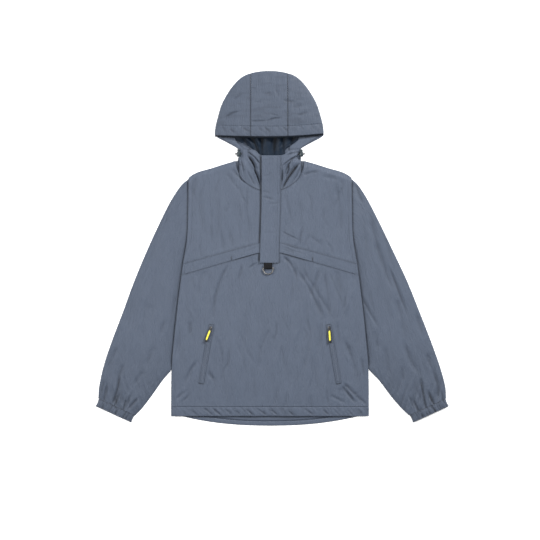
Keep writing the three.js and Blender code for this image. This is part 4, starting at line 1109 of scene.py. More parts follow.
fine = (2.0 * folds + 0.25 * uneven(x / 16, y / 60, 51)) * edge
z = np.clip(WALL + SEAM + 2.9 + 0.6 * wave + fine, 2.7, 7.2)
under = ["hood_strip_under", "hood_left_under", "hood_right_under"]
# Painted shade in the lining's folds, and painted shadow that deepens towards the brim.
hollow = 0.42 * np.maximum(-folds, 0) + 0.5 * smooth(HOOD_Y - 22, HOOD_Y - 2, y)
cloth_grid = grid_of(x + HOOD_X, y, z)
add_cloth("hood_lining_cloth", cloth_grid, 1.0, ["hood_lining"], under, lining, "lining", hollow=hollow)

# %% Turned hem of the face opening
FACE_LOW_Y, FACING_WALL = 329.4, 1.1
FACING_INNER = {
    "left": curve([(330, 69), (346, 86), (356, 92), (366, 97)]),
    "right": curve([(330, 55), (336, 56), (348, 73), (353, 78), (366, 82)]),
}
v = np.concatenate([[0, 0.01], np.linspace(0.03, 1, 33)])[:, None]
share = np.linspace(0, 1, 22)[None, :]
for side, sign in SIDES:
    height = FACE_LOW_Y + v * (HOOD_Y - FACE_LOW_Y)
    outer = hood_half(height) - 1.5 * (1 + 3 * v)
    x = sign * (outer + share * (FACING_INNER[side](height) - outer))
    y = height + v * (brim_of(x) + 3 - HOOD_Y)
    ruck = 0.35 * uneven(x / 8, y / 8, 52) * np.sin(np.pi * share) + groove(share * 40 - 34, 3, 0.35)
    z = 5.2 + 1.0 * share + 0.6 * np.sin(np.pi * share) + ruck
    # Painted shadow of the brim along the hem's top, and painted shade along its inner edge.
    hollow = 0.95 * smooth(-7.5, -4.2, y - brim_of(x)) + 0.25 * smooth(0.9, 1, share) + 0 * y
    shape = {"edge": (0.05, 0.45, 0.45, 0.45), "hollow": hollow}
    grid = grid_of(x + HOOD_X, y, z)
    under = ["hood_lining_cloth"]
    add_cloth(f"{side}_face_hem", grid, FACING_WALL, [f"hood_facing_{side}"], under, **shape)

# %% [markdown]
# ## Throat
# Below the face opening the hood's fronts climb from the neck seam to the placket. They are the most folded
# part of the garment: a deep fold runs from each cord lock down to the placket.

# %% Throat
THROAT_EDGE = {
    "left": curve([(0, 311), (23, 312), (30, 316), (40, 325), (54, 328.5), (90, 329)]),
    "right": curve([(0, 311), (30, 312), (41, 316), (50, 325), (58, 328.5), (90, 329)]),
}
THROAT_FOLDS = [
    (-66, 312, -33, 226, 8, 1.7), (-44, 312, -30, 262, 6, -1.0),
    (57, 280, 35, 220, 8, 1.5), (76, 316, 44, 280, 6, 0.6),
]
THROAT_CREASES = [
    (-61, 320, -26, 285, 4, 1.6, 2.4), (-60, 309, -39, 262, 6, 2.6, 4.8), (-44, 275, -27, 228, 3, 2.5, 4.8),
    (-50, 311, -30, 268, 3, 3.0, -2.6), (-31, 274, -24, 232, 0, 2.2, -2.0), (-62, 272, -38, 224, 0, 3.4, 1.6),
    (-85, 299, -80, 281, 0, 1.8, 1.6), (-79, 300, -70, 262, 0, 2.2, 1.6), (-70, 296, -58, 250, 2, 4, -1.0),
    (79, 322, 46, 311, -2, 1.3, 1.8), (79, 312, 32, 281, -3, 1.8, 2.6), (50, 286, 43, 256, 2, 2.2, 2.8),
    (78, 288, 32, 217, -4, 2.5, 5.2), (74, 300, 42, 244, -3, 2.8, -2.2), (84, 284, 48, 224, 4, 2.2, 1.0),
    (66, 306, 38, 282, -2, 3.6, -1.4), (34, 276, 31, 234, 0, 2.2, 2.2), (62, 304, 40, 262, -2, 2.2, 1.8),
]


def throat_top(x, y):
    share = smooth(NECK_Y - NECK_DROP, NECK_Y + 12, y)
    climb = YOKE_TOP + 7 * share
    outward = np.minimum(np.abs(x) / 86, 1)
    return EDGE_TOP + (climb - EDGE_TOP) * (1 - outward ** (5 + 6 * smooth(303, 282, y)))


start = math.degrees(math.asin(FRONT_GAP / NECK_HALF))
turn = np.concatenate([[start], np.linspace(start + 1.2, 64.8, 72), [66]])[None, :]
v = np.concatenate([[0, 0.003, 0.02, 0.045], np.linspace(0.07, 0.96, 74), [0.98, 0.997, 1]])[:, None]
for side, sign in SIDES:
    low_x, low_y = neck_point(turn, 2 * SEAM)
    top = THROAT_EDGE[side](low_x)
    y = low_y + v * (top - low_y)
    x = low_x + 0 * y
    inside = smooth(24, 27, x) * smooth(86, 80, x) * smooth(0, 0.12, v)
    sharp = creases(sign * x, y, THROAT_CREASES)
    folds = broad_folds(sign * x, y, THROAT_FOLDS) + 1.45 * sharp
    # Painted shade along the throat's seams, in its creases and beside the placket's free edge.
    seam = 0.5 * hump(y - low_y, 1.6) * smooth(84, 44, x) + 0.4 * hump(top - y, 1.2)
    lines = 0.3 * fold_shade(sign * x, y, THROAT_CREASES, 1.5) + 0.05 * np.maximum(-sharp, 0)
    hollow = np.maximum(np.maximum(lines, seam), 0.9 * beside_placket(sign * x, y))
    soft = 0.5 * uneven(x / 12, y / 22, 61)
    z = throat_top(x, y) + (folds + soft) * inside + groove(top - y - 3, 1.2, 0.5) * smooth(24, 32, x)
    under_hem = smooth(52, 64, x) * smooth(0.72, 1, v)
    z = np.maximum(z + (6.0 - z) * under_hem * (z > 6.0), 3.2)
    over = ["hood_lining_cloth", "back_panel"]
    shape = {"edge": (0.08, 0.1, 0.45, 0.45), "hollow": hollow}
    add_cloth(f"{side}_throat", grid_of(sign * x, y, z), WALL, [f"hood_throat_{side}"], over, **shape)

# %% [markdown]
# ## Sleeves and cuffs
# A sleeve is a flattened tube: each section is flat below and rounded above, and it thickens from the
# armhole to the wrist. Its cut is a single piece folded round, so its flat pattern counts both layers. Near
# the wrist the elastic cuff gathers it into deep uneven folds.

# %% Sleeve forms
SLEEVE = np.array([
    (218, 250, 225.5, 40, 4.3), (240, 231, 230.8, 2, 5.4), (268.5, 188, 238.2, -54, 6.0),
    (303, 119, 244.6, -108, 6.2), (336, 46, 251.0, -162, 6.2), (367.5, -30, 257.0, -216, 6.2),
    (399, -116, 262.6, -260, 6.2), (425, -184, 291, -297, 6.2), (447.5, -251, 320, -338, 6.2),
    (460.5, -308, 345.5, -371, 6.3), (463.5, -343.5, 363, -389.5, 6.6),
])
SLEEVE_TRACKS = [curve(list(zip(range(len(SLEEVE)), SLEEVE[:, key]))) for key in range(SLEEVE.shape[1])]
SWING_OUT = curve([
    (0, 0), (2, -2.5), (3, -2), (4, 0), (5, 4), (6, 7), (7, 7.5), (8, 9), (9, 12), (10, 12),
])
SWING_IN = curve([
    (0, 0), (2, 0), (3, 0), (4, 0), (5, 0.4), (6, 1), (7, 4.7), (8, 6.6), (9, 9.8), (10, 12),
])
GATHERS, GATHER_DEPTH, UNDERSIDE = 7, 1.5, 1.5
TOP_ANGLES = np.radians(np.concatenate([
    np.linspace(-90, -62, 12), np.linspace(-58, 58, 56), np.linspace(62, 90, 12),
]))
LOW_SHARES = np.linspace(1, -1, 26)[1:-1]
SLEEVE_CREASES = {
    "left": [
        (-407, -278, -430, -367, 6, 4.5, 2.4), (-408, -331, -424, -378, 0, 3.5, 1.8),
        (-387, -342, -403, -396, 1, 3.5, 1.8), (-396, -251, -406, -284, 0, 6, 1.2),
        (-412, -202, -440, -267, -0, 9, 1.5), (-343, -270, -371, -312, 0, 7, 1.2),
        (-375, -332, -390, -373, 0, 4, 1.3), (-440, -305, -449, -355, 0, 5, 1.5),
        (-448, -294, -455, -332, 0, 4, 0.9), (-356, -343, -386, -376, 0, 4, 1.2),
        (-284, -132, -297, -176, 0, 7, 0.8), (-324, -78, -354, -200, 0, 14, 0.8),
        (-254, -57, -270, -159, 0, 6, 0.7), (-297, 151, -324, 24, 6, 14, 0.7),
        (-265, 219, -281, 148, 0, 8, 0.6), (-362, -51, -386, -159, 0, 12, 0.7),
        (-310, -200, -335, -256, 0, 9, 0.7),
    ],
    "right": [
        (407, -294, 423, -380, -1, 4, 2.6), (427, -325, 458, -387, -2, 4, 2.6),
        (440, -270, 453, -352, 6, 6, 2.0), (422, -219, 440, -273, 0, 8, 1.4),
        (386, -348, 403, -385, 0, 3.5, 1.8), (375, -338, 387, -370, 0, 4, 1.1),
        (462, -321, 469, -360, 0, 4, 1.2), (395, -111, 413, -177, -2, 8, 1.3),
        (363, -192, 405, -281, -6, 8, 1.3), (310, -202, 322, -284, 0, 9, 0.8),
        (356, -259, 360, -300, 0, 6, 0.8), (272, 148, 342, -65, -10, 9, 1.8), (342, -65, 364, -189, 0, 9, 1.0),
        (232, 243, 254, 176, -3, 6, 1.1), (278, -159, 294, -219, 0, 8, 0.7), (265, -51, 286, -138, 0, 8, 0.6),
        (308, 111, 329, 24, 0, 7, 0.7), (248, 151, 265, 24, 0, 10, 0.6), (320, 14, 372, -121, 0, 5.5, 1.5),
        (244, -66, 294, -154, 0, 5, 1.2), (290, 168, 318, 92, 0, 5, 0.8),
    ],
}


def tube_layers(rows, sign, ripple, folds):
    """Outer and inner points of a flattened tube, how far across each column lies, from -1 to 1, and the
    width of each section. rows are the sections."""
    out_x, out_y, in_x, in_y, thick = (rows[:, key][:, None] for key in range(5))
    out_x, in_x = sign * out_x, sign * in_x
    span = np.hypot(in_x - out_x, in_y - out_y)
    across = np.concatenate([np.sin(TOP_ANGLES), LOW_SHARES])[None, :]
    upper = np.concatenate([np.ones(len(TOP_ANGLES)), np.zeros(len(LOW_SHARES))])[None, :]
    bulge = (1 - np.abs(across) ** 3.2).clip(0) ** (1 / 3.2) * upper
    layers = []
    for inset in (0, WALL):
        share = (span / 2 + (span / 2 - 1.6 * inset) * across) / span
        x, y = out_x + share * (in_x - out_x), out_y + share * (in_y - out_y)
        height = thick - 2 * inset + ripple(across)
        z = inset + np.maximum(height + folds(x, y), 0.3 + 2 * (WALL - inset)) * bulge
        layers.append(np.dstack([x, y, z + 0 * x]))
    return layers, across, span


def wrist_ruck(x, y, sign):
    """Narrow upright rucks above the cuff, between -1 and 1."""
    return uneven((x - sign * 0.3 * y) / 6.5, y / 38, 73)


def sleeve_folds(side, sign):
    def folds(x, y):
        wrist = smooth(-230, -330, y)
        soft = 0.7 * uneven(x / 30 + 7 * sign, y / 60, 71) + 0.34 * uneven(x / 10, y / 34, 72)
        ruck = 1.1 * wrist * wrist_ruck(x, y, sign)
        covered = smooth(GAP_POINT_Y - 10, GAP_POINT_Y + 20, y)
        trench = -3.4 * hump(np.abs(x) - side_of(y), 6.0) * covered
        return np.maximum(soft + ruck + 2.4 * creases(x, y, SLEEVE_CREASES[side], 0.75) + trench, -3.3)
    return folds


def down_sleeve(outer):
    """How far down the sleeve each section lies, measured along its middle."""
    middle = outer[:, len(TOP_ANGLES) // 2, :2]
    steps = np.linalg.norm(np.diff(middle, axis=0), axis=1)
    return np.concatenate([[0], np.cumsum(steps)])

# %% Sleeves
GIRTH = np.concatenate([
    np.arange(len(TOP_ANGLES)) / len(TOP_ANGLES), 1 + np.arange(len(LOW_SHARES)) / len(LOW_SHARES),
])[None, :]
near_wrist = np.concatenate([np.linspace(8.95, 9.97, 34), [9.985, 10]])
stations = np.concatenate([[0, 0.03, 0.06], np.linspace(0.1, 8.9, 176), near_wrist])
near = smooth(7, 10, stations)[:, None]


def gather(across):
    """How the elastic draws the sleeve up near the wrist."""
    return 0.5 * GATHER_DEPTH * near * np.cos(np.pi * GATHERS * across) * (1 - across * across)


cuff_starts = {}
for side, sign in SIDES:
    rows = np.stack([track(stations) for track in SLEEVE_TRACKS], 1)
    if side == "right":
        rows[:, 0] += SWING_OUT(stations)
        rows[:, 2] += SWING_IN(stations)
    (outer, inner), across, span = tube_layers(rows, sign, gather, sleeve_folds(side, sign))
    flat = np.dstack(np.broadcast_arrays(span * GIRTH, down_sleeve(outer)[:, None]))
    tuck_line = side_of(outer[..., 1]) - SLEEVE_TUCK + 0.1
    tuck = np.maximum(np.abs(outer[..., 0]) - tuck_line, 0) * (1 - across**4)
    tuck = tuck * smooth(1.2, 0, stations)[:, None]
    outer[..., 0] -= sign * tuck
    inner[..., 0] -= sign * tuck
    x, y = outer[..., 0], outer[..., 1]
    # Painted shade: a shadow beside the body's edge, a soft darkening near the armhole and towards the cuff,
    # and the bottoms of creases and rucks.
    beside = hump(np.abs(x) - side_of(y), 4.5) * smooth(GAP_POINT_Y - 10, GAP_POINT_Y + 20, y)
    lines = 0.36 * fold_shade(x, y, SLEEVE_CREASES[side], 2.6) + 0.09 * smooth(-120, -330, y)
    lines = lines + 0.1 * hump(np.abs(x) - side_of(y), 15) * smooth(GAP_POINT_Y, GAP_POINT_Y + 60, y)
    ruck = 0.26 * smooth(-260, -350, y) * np.maximum(-wrist_ruck(x, y, sign), 0)
    hollow = np.maximum(lines + ruck, 0.75 * beside)
    on_top = outer[..., 2] > UNDERSIDE
    shape = {"flat": flat, "inner": inner, "looped": True, "hollow": hollow * on_top}
    add_cloth(f"{side}_sleeve", outer, WALL, [f"sleeve_{side}"], ["back_panel"], **shape)
    cuff_starts[side] = rows[-1]

# %% Cuffs
CUFF_LENGTH, CUFF_WAVES, CUFF_DEPTH = 22, 13, 0.7
for side, sign in SIDES:
    out_x, out_y, in_x, in_y, thick = cuff_starts[side]
    along = np.array([in_x - out_x, in_y - out_y])
    along /= np.linalg.norm(along)
    down = np.array([-along[1], along[0]])
    down *= -np.sign(down[1])
    far = np.concatenate([[0.1, 1.6], np.linspace(2.8, CUFF_LENGTH - 1.6, 20), [CUFF_LENGTH]])
    draw = np.interp(far, [0.5, 7.7, 15.4, CUFF_LENGTH], [1.5, 3, 3, 2])
    tall = np.interp(far, [0.5, 3, 7.7, 15.4, 20, CUFF_LENGTH], [6.4, 7.2, 7.4, 7.4, 7.0, 6.2])
    rows = np.stack([
        out_x + down[0] * far + along[0] * draw, out_y + down[1] * far + along[1] * draw,
        in_x + down[0] * far - along[0] * draw, in_y + down[1] * far - along[1] * draw, tall,
    ], 1)
    rows_at = far[:, None]

    def cuff_ripple(s, sign=sign, rows_at=rows_at):
        even = CUFF_DEPTH * 0.5 * np.cos(np.pi * CUFF_WAVES * 0.5 * s)
        shift = 0.18 * uneven(rows_at / 9, 0 * rows_at + 0.5, 81)
        ragged = 1.0 * uneven((s + 0.02 * shift) * 21, rows_at / 16 + sign * 3, 82)
        ragged = ragged + 0.55 * uneven(s * 44, rows_at / 8 + sign * 5, 83)
        sewn = groove(rows_at - 4.5, 0.9, 0.5) + groove(rows_at - 17.5, 0.9, 0.5)
        return (even + ragged + sewn) * (1 - s * s) ** 0.5

    (outer, inner), across, span = tube_layers(rows, sign, cuff_ripple, lambda x, y: 0 * x)
    flat = np.dstack(np.broadcast_arrays(span * GIRTH, rows_at))
    spread = across + 0 * rows_at
    # Painted shade: a little all over the cuff, more in the dips between its gathers and at both rims.
    dips = -uneven(spread * 21, rows_at / 16 + sign * 3, 82)
    dips = dips - 0.5 * uneven(spread * 44, rows_at / 8 + sign * 5, 83)
    rim = 0.5 * smooth(1.6, 0.5, rows_at) + 0.3 * smooth(CUFF_LENGTH - 1.2, CUFF_LENGTH, rows_at)
    hollow = (0.16 + 0.75 * np.maximum(dips, 0) + rim) * (outer[..., 2] > UNDERSIDE)
    shape = {"flat": flat, "inner": inner, "looped": True, "hollow": hollow}
    add_cloth(f"{side}_cuff", outer, WALL, [f"cuff_{side}"], [f"{side}_sleeve"], **shape)

# %% [markdown]
# ## Pockets
# Each slanted pocket has a welt: a narrow folded frame whose two lips nearly hide the zip. The frame is a
# rounded section carried round a rectangle, and the zip's tape lies inside it.

# %% Welts and tapes
ON_PANEL = LOWER_TOP + SEAM
TAPE_WALL = 0.8


def pocket_place(side):
    """The pocket's middle, its length and the turn of its long side."""
    sign = -1 if side == "left" else 1
    (top_x, top_y), (low_x, low_y) = POCKET["top"], POCKET["low"]
    length = math.hypot(low_x - top_x, low_y - top_y)
    middle = np.array([sign * (top_x + low_x) / 2, (top_y + low_y) / 2])
    return middle, length, sign * math.atan2(low_x - top_x, top_y - low_y)


def turned(points, turn, middle):
    c, s = math.cos(turn), math.sin(turn)
    out = points.copy()
    out[..., 0] = c * points[..., 0] - s * points[..., 1] + middle[0]
    out[..., 1] = s * points[..., 0] + c * points[..., 1] + middle[1]
    return out


def closed_mesh(name, points, quads):
    mesh = bpy.data.meshes.new(name)
    mesh.from_pydata((points * MM).tolist(), [], facing_out(points, quads).tolist())
    smooth_faces(mesh)
    return mesh


def ring_quads(stations, sides):
    """Faces of a closed ring of sections."""
    i, j = np.meshgrid(np.arange(stations), np.arange(sides), indexing="ij")
    i2, j2 = (i + 1) % stations, (j + 1) % sides
    return np.stack([i * sides + j, i2 * sides + j, i2 * sides + j2, i * sides + j2], -1).reshape(-1, 4)


def rectangle(count):
    """Places round a rectangle that reaches from -1 to 1 both ways."""
    long_side = np.linspace(-1, 1, count)[:-1]
    short = np.linspace(-1, 1, 7)[:-1]
    first_half = [(short, -1 + 0 * short), (1 + 0 * long_side, long_side)]
    parts = [np.stack(pair, 1) for pair in first_half]
    return np.concatenate(parts + [-part for part in parts])


for side in ("left", "right"):
    middle, length, turn = pocket_place(side)
    path = rectangle(90)
    angle = np.linspace(0, math.tau, 15)[:-1]
    lip, tall = POCKET["lip"], POCKET["wall"]
    run = lip / 2 - lip / 2 * np.sign(np.cos(angle)) * np.abs(np.cos(angle)) ** 0.6
    rise = tall / 2 + tall / 2 * np.sign(np.sin(angle)) * np.abs(np.sin(angle)) ** 0.6
    x = path[:, :1] * (POCKET["width"] / 2 - run[None, :])
    y = path[:, 1:] * (length / 2 - run[None, :])
    soft = 0.12 * uneven(y / 7, 2 * np.sign(x) + 0 * y, 91) * (rise[None, :] / tall)
    points = turned(np.dstack([x, y, ON_PANEL + rise[None, :] + soft]), turn, middle)
    mesh = closed_mesh(f"{side}_pocket_welt", points.reshape(-1, 3), ring_quads(len(path), len(angle)))
    lay_flat(mesh, points.reshape(-1, 3)[:, :2])
    welt = add_piece(f"{side}_pocket_welt", mesh, shell, [f"pocket_welt_{side}"])
    opening = (POCKET["width"] - 2 * lip) * (length - 2 * lip)
    shows = (POCKET["width"] * length - opening) * MM * MM
    length * MM
    tape_x = np.linspace(-1, 1, 8)[None, :] * (POCKET["width"] / 2 - lip - SEAM)
    tape_y = np.linspace(-1, 1, 70)[:, None] * (length / 2 - lip - SEAM)
    tape = turned(grid_of(tape_x, tape_y, ON_PANEL + TAPE_WALL), turn, middle)
    mesh = wall(f"{side}_pocket_tape", tape, sunk(tape, TAPE_WALL))
    add_piece(f"{side}_pocket_tape", mesh, tape_weave, [f"pocket_zip_{side}"])

# %% [markdown]
# ## Sliders and pulls
# The slider and the moulded pull keep their solids' shapes with rounded edges: the solid's mesh is copied, its
# doubles are merged and a bevel rounds it. The yellow bar in the pull is ribbed for grip.

# %% Rounded copies of solids
def rounded_copy(name, node, width, segments, finish, body):
    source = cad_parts[node]
    mesh = source.data.copy()
    mesh.materials.clear()
    mesh.name = name
    copy = add_piece(name, mesh, finish, [node], body)
    bpy.context.view_layer.objects.active = copy
    work = bmesh.new()
    work.from_mesh(mesh)
    bmesh.ops.remove_doubles(work, verts=work.verts, dist=0.00002)
    bmesh.ops.dissolve_limit(work, angle_limit=math.radians(3), verts=work.verts, edges=work.edges)
    work.to_mesh(mesh)
    work.free()
    bevel = copy.modifiers.new("round", "BEVEL")
    bevel.width = width
    bevel.segments = segments
    bevel.limit_method = "ANGLE"
    bevel.angle_limit = math.radians(25)
    bevel.harden_normals = False
    smooth_faces(mesh)


PULL_TURN = {"left": -11, "right": -6.5}
ZIP_LEAN, BAR_HALF, BAR_HALF_WIDTH, RIB_PITCH = 9.9, 13.5, 2.3, 2.7
for side, sign in SIDES:
    body = f"pull_{side}"
    rounded_copy(f"{side}_slider", f"zip_slider_{side}", 0.0003, 2, dark_metal, "garment")
    rounded_copy(f"{side}_pull_tab", f"zip_pull_{side}", 0.00045, 3, black_plastic, body)
    low_corner, high_corner = (np.array(c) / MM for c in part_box(f"pull_inlay_{side}"))
    centre = (low_corner + high_corner) / 2
    turn = math.radians(sign * ZIP_LEAN + PULL_TURN[side])
    run = np.linspace(-BAR_HALF, BAR_HALF, 82)[:, None]
    wide = BAR_HALF_WIDTH * (1 - (np.abs(run) / 13.6) ** 10) ** 0.5
    s = np.linspace(-1, 1, 11)[None, :]
    height = 0.5 * (1 - np.abs(s) ** 5) + 0.14 * np.cos(run * math.tau / RIB_PITCH) * (1 - s * s) - 0.14
    bar = grid_of(wide * s, run, height + low_corner[2] + 0.02)
    top = turned(bar, turn, centre[:2])
    base = top.copy()
    base[..., 2] = low_corner[2] - 0.15
    mesh = wall(f"{side}_pull_bar", top, base)
    add_piece(f"{side}_pull_bar", mesh, yellow_rubber, [f"pull_inlay_{side}"], body)

# %% [markdown]
# ## D-ring and its webbing
# A cast D-ring hangs under the placket on a doubled strip of webbing. Its wire is round, and the path is a
# straight bar with two rounded corners, straight sides and a half circle.

# %% D-ring
RING = {"x": -5, "y": 8.6, "z": 9.9, "half": 15.2, "wire": 3.2, "side": 3.4, "corner": 2.6}
mid_half = RING["half"] - RING["wire"] / 2
corner_r = RING["corner"]


def arc(centre_x, centre_y, radius, start, end, count):
    angle = np.radians(np.linspace(start, end, count))
    return np.stack([centre_x + radius * np.cos(angle), centre_y + radius * np.sin(angle)], 1)


def between(start, end, count):
    """Points on a straight line, without its two ends."""
    return np.linspace(start, end, count)[1:-1]


path = np.concatenate([
    arc(0, -RING["side"], mid_half, 180, 360, 61),
    between((mid_half, -RING["side"]), (mid_half, -corner_r), 8),
    arc(mid_half - corner_r, -corner_r, corner_r, 0, 90, 9),
    between((mid_half - corner_r, 0), (corner_r - mid_half, 0), 22),
    arc(corner_r - mid_half, -corner_r, corner_r, 90, 180, 9),
    between((-mid_half, -corner_r), (-mid_half, -RING["side"]), 8),
])
ahead = np.roll(path, -1, axis=0) - np.roll(path, 1, axis=0)
ahead /= np.linalg.norm(ahead, axis=1, keepdims=True)
outward = np.stack([ahead[:, 1], -ahead[:, 0]], 1)
angle = np.linspace(0, math.tau, 19)[:-1]
radius = RING["wire"] / 2
ring_points = np.dstack([
    RING["x"] + path[:, :1] + outward[:, :1] * radius * np.cos(angle)[None, :],
    RING["y"] + path[:, 1:] + outward[:, 1:] * radius * np.cos(angle)[None, :],
    np.broadcast_to(RING["z"] + radius * np.sin(angle)[None, :], (len(path), len(angle))),
])
mesh = closed_mesh("d_ring_cast", ring_points.reshape(-1, 3), ring_quads(len(path), len(angle)))
add_piece("d_ring_cast", mesh, gunmetal, ["d_ring"], "ring")

# %% Webbing loop
WEBBING = {"half": 11, "bore": 2.2, "wrap": 3.1, "tail": 23, "low": ON_PANEL, "high": 8.4}
drop, rise = WEBBING["low"] - RING["z"], WEBBING["high"] - RING["z"]
wrap = WEBBING["wrap"]
around = np.radians(np.linspace(-90, -270, 25))
outline = np.concatenate([
    np.linspace((WEBBING["tail"], drop), (1.5, -wrap + 0.05), 14),
    np.stack([wrap * np.cos(around), wrap * np.sin(around)], 1),
    np.linspace((1.5, wrap - 0.1), (WEBBING["tail"], rise), 16),
])
inner_line = np.concatenate([
    np.linspace((WEBBING["tail"], (drop + rise) / 2 - 0.02), (1.5, -WEBBING["bore"] + 0.25), 14),
    np.stack([WEBBING["bore"] * np.cos(around), WEBBING["bore"] * np.sin(around)], 1),
    np.linspace((1.5, WEBBING["bore"] - 0.25), (WEBBING["tail"], (drop + rise) / 2 + 0.02), 16),
])
across = np.linspace(-1, 1, 34)
shape = []
for line_points in (outline, inner_line):
    x = RING["x"] + WEBBING["half"] * across[None, :] + 0 * line_points[:, :1]
    y = RING["y"] + line_points[:, :1] + 0 * x
    z = RING["z"] + line_points[:, 1:] + 0 * x
    shape.append(np.dstack([x, y, z]))
mesh = wall("ring_strap", shape[0], shape[1])
strap = add_piece("ring_strap", mesh, webbing, ["ring_webbing"])

# %% [markdown]
# ## Cord locks and their elastic
# At both ends of the drawcord a spring lock sits beside the neck, and a short hairpin of elastic runs through
# it. The barrel is turned on a lathe in code, with a rim, a waist and a button, and is bored across.

# %% Cord locks
LOCK = {"x": 84, "y": 315.5, "z": 11.6, "radius": 5.8, "bore": 2.9}
PROFILE = np.array([
    (3.2, -8.0), (4.2, -7.7), (5.0, -6.6), (5.6, -5.0), (5.8, -4.2), (5.8, -3.4), (5.5, -3.1), (5.5, 2.4),
    (5.8, 2.7), (5.8, 3.6), (5.5, 4.1), (4.6, 4.4), (4.1, 4.6), (4.0, 5.2), (4.0, 9.2), (4.2, 9.6),
    (4.2, 10.6), (3.9, 11.4), (3.1, 11.9),
])


def capped_rings(name, rings):
    """A closed shape from rings of points, in millimetres, with a flat cap on each end."""
    count, sides = rings.shape[:2]
    faces = []
    for i in range(count - 1):
        for j in range(sides):
            k = (j + 1) % sides
            faces.append((i * sides + j, i * sides + k, (i + 1) * sides + k, (i + 1) * sides + j))
    faces.append(tuple(range(sides))[::-1])
    faces.append(tuple((count - 1) * sides + j for j in range(sides)))
    mesh = bpy.data.meshes.new(name)
    mesh.from_pydata((rings.reshape(-1, 3) * MM).tolist(), [], faces)
    work = bmesh.new()
    work.from_mesh(mesh)
    bmesh.ops.recalc_face_normals(work, faces=work.faces)
    work.to_mesh(mesh)
    work.free()
    return mesh


turn = np.linspace(0, math.tau, 33)[:-1]
for side, sign in SIDES:
    name = f"{side}_cord_lock"
    centre = (sign * LOCK["x"], LOCK["y"], LOCK["z"])
    mesh = capped_rings(name, np.dstack([
        centre[0] + PROFILE[:, :1] * np.cos(turn)[None, :],
        centre[1] + PROFILE[:, 1:] + 0 * turn[None, :],
        centre[2] + PROFILE[:, :1] * np.sin(turn)[None, :],
    ]))
    lock = add_piece(name, mesh, lock_plastic, [f"cord_lock_{side}"])
    bpy.ops.mesh.primitive_cylinder_add(
        vertices=28, radius=LOCK["bore"] * MM, depth=0.03,
        location=[c * MM for c in centre], rotation=(0, math.pi / 2, 0),
    )
    drill = bpy.context.object
    bore = lock.modifiers.new("bore", "BOOLEAN")
    bore.object = drill
    bore.solver = "EXACT"
    bored = bpy.data.meshes.new_from_object(lock.evaluated_get(bpy.context.evaluated_depsgraph_get()))
    lock.modifiers.clear()
    lock.data = bored
    bpy.data.objects.remove(drill)
    smooth_faces(bored)
    bored.set_sharp_from_angle(angle=math.radians(32))
    print(f"    bored: {len(bored.polygons)} faces")

# %% Elastic hairpins
CORD = {"radius": 1.15, "spread": 1.5, "reach": 3.2, "inner": 76, "eyelet": 10.7}


def tube_along(name, points, radius, sides=14):
    """A closed tube of one thickness along a line of points, in millimetres."""
    points = np.array(points, float)
    ahead = np.gradient(points, axis=0)
    ahead /= np.linalg.norm(ahead, axis=1, keepdims=True)
    up = np.array([0, 0, 1.0])
    side = np.cross(ahead, up)
    side /= np.linalg.norm(side, axis=1, keepdims=True)
    above = np.cross(side, ahead)
    angle = np.linspace(0, math.tau, sides + 1)[:-1]
    angle = angle[None, :, None]
    around = np.cos(angle) * side[:, None, :] + np.sin(angle) * above[:, None, :]
    mesh = capped_rings(name, points[:, None, :] + radius * around)
    smooth_faces(mesh)
    mesh.set_sharp_from_angle(angle=math.radians(60))
    return mesh


for side, sign in SIDES:
    far = LOCK["x"] + LOCK["radius"] + CORD["reach"] - CORD["spread"]
    bend = np.radians(np.linspace(90, -90, 17))
    runs = [(x, CORD["spread"]) for x in np.linspace(CORD["inner"], far, 12)[:-1]]
    runs += [(far + CORD["spread"] * math.cos(a), CORD["spread"] * math.sin(a)) for a in bend]
    runs += [(x, -CORD["spread"]) for x in np.linspace(far, CORD["inner"], 12)[1:]]
    sag = LOCK["z"] - CORD["eyelet"]
    route = []
    for x, y in runs:
        z = LOCK["z"] - sag * float(smooth(LOCK["x"], CORD["inner"], x))
        route.append((sign * x, LOCK["y"] + y, z))
    name = f"{side}_lock_elastic"
    add_piece(name, tube_along(name, route, CORD["radius"]), elastic, [f"lock_cord_{side}"])

# %% Finish of the zip that stays a solid
front_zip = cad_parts["front_zip"]
front_zip.data.materials.clear()
front_zip.data.materials.append(webbing)

# %% [markdown]
# ## Stitches
# A row of stitches is one small shape repeated along a path, so Geometry Nodes make it. The tree turns each
# path into a curve, cuts it at the pitch, puts a stitch on each point along the path's direction, and makes
# real mesh of them. The paths are worked out from the same surfaces that the panels have.

# %% Stitch tree
def new_tree(name, sizes):
    tree = bpy.data.node_groups.new(name, "GeometryNodeTree")
    tree.interface.new_socket("Paths", in_out="INPUT", socket_type="NodeSocketGeometry")
    for label, value in sizes.items():
        socket = tree.interface.new_socket(label, in_out="INPUT", socket_type="NodeSocketFloat")
        socket.default_value = value
    tree.interface.new_socket("Finish", in_out="INPUT", socket_type="NodeSocketMaterial")
    tree.interface.new_socket("Mesh", in_out="OUTPUT", socket_type="NodeSocketGeometry")
    return tree


def add_node(tree, kind, settings=None, **values):
    node = tree.nodes.new(kind)
    for key, value in (settings or {}).items():
        setattr(node, key, value)
    for key, value in values.items():
        socket = node.inputs[key.replace("_", " ")]
        if isinstance(value, bpy.types.NodeSocket):
            tree.links.new(value, socket)
        else:
            socket.default_value = value
    return node


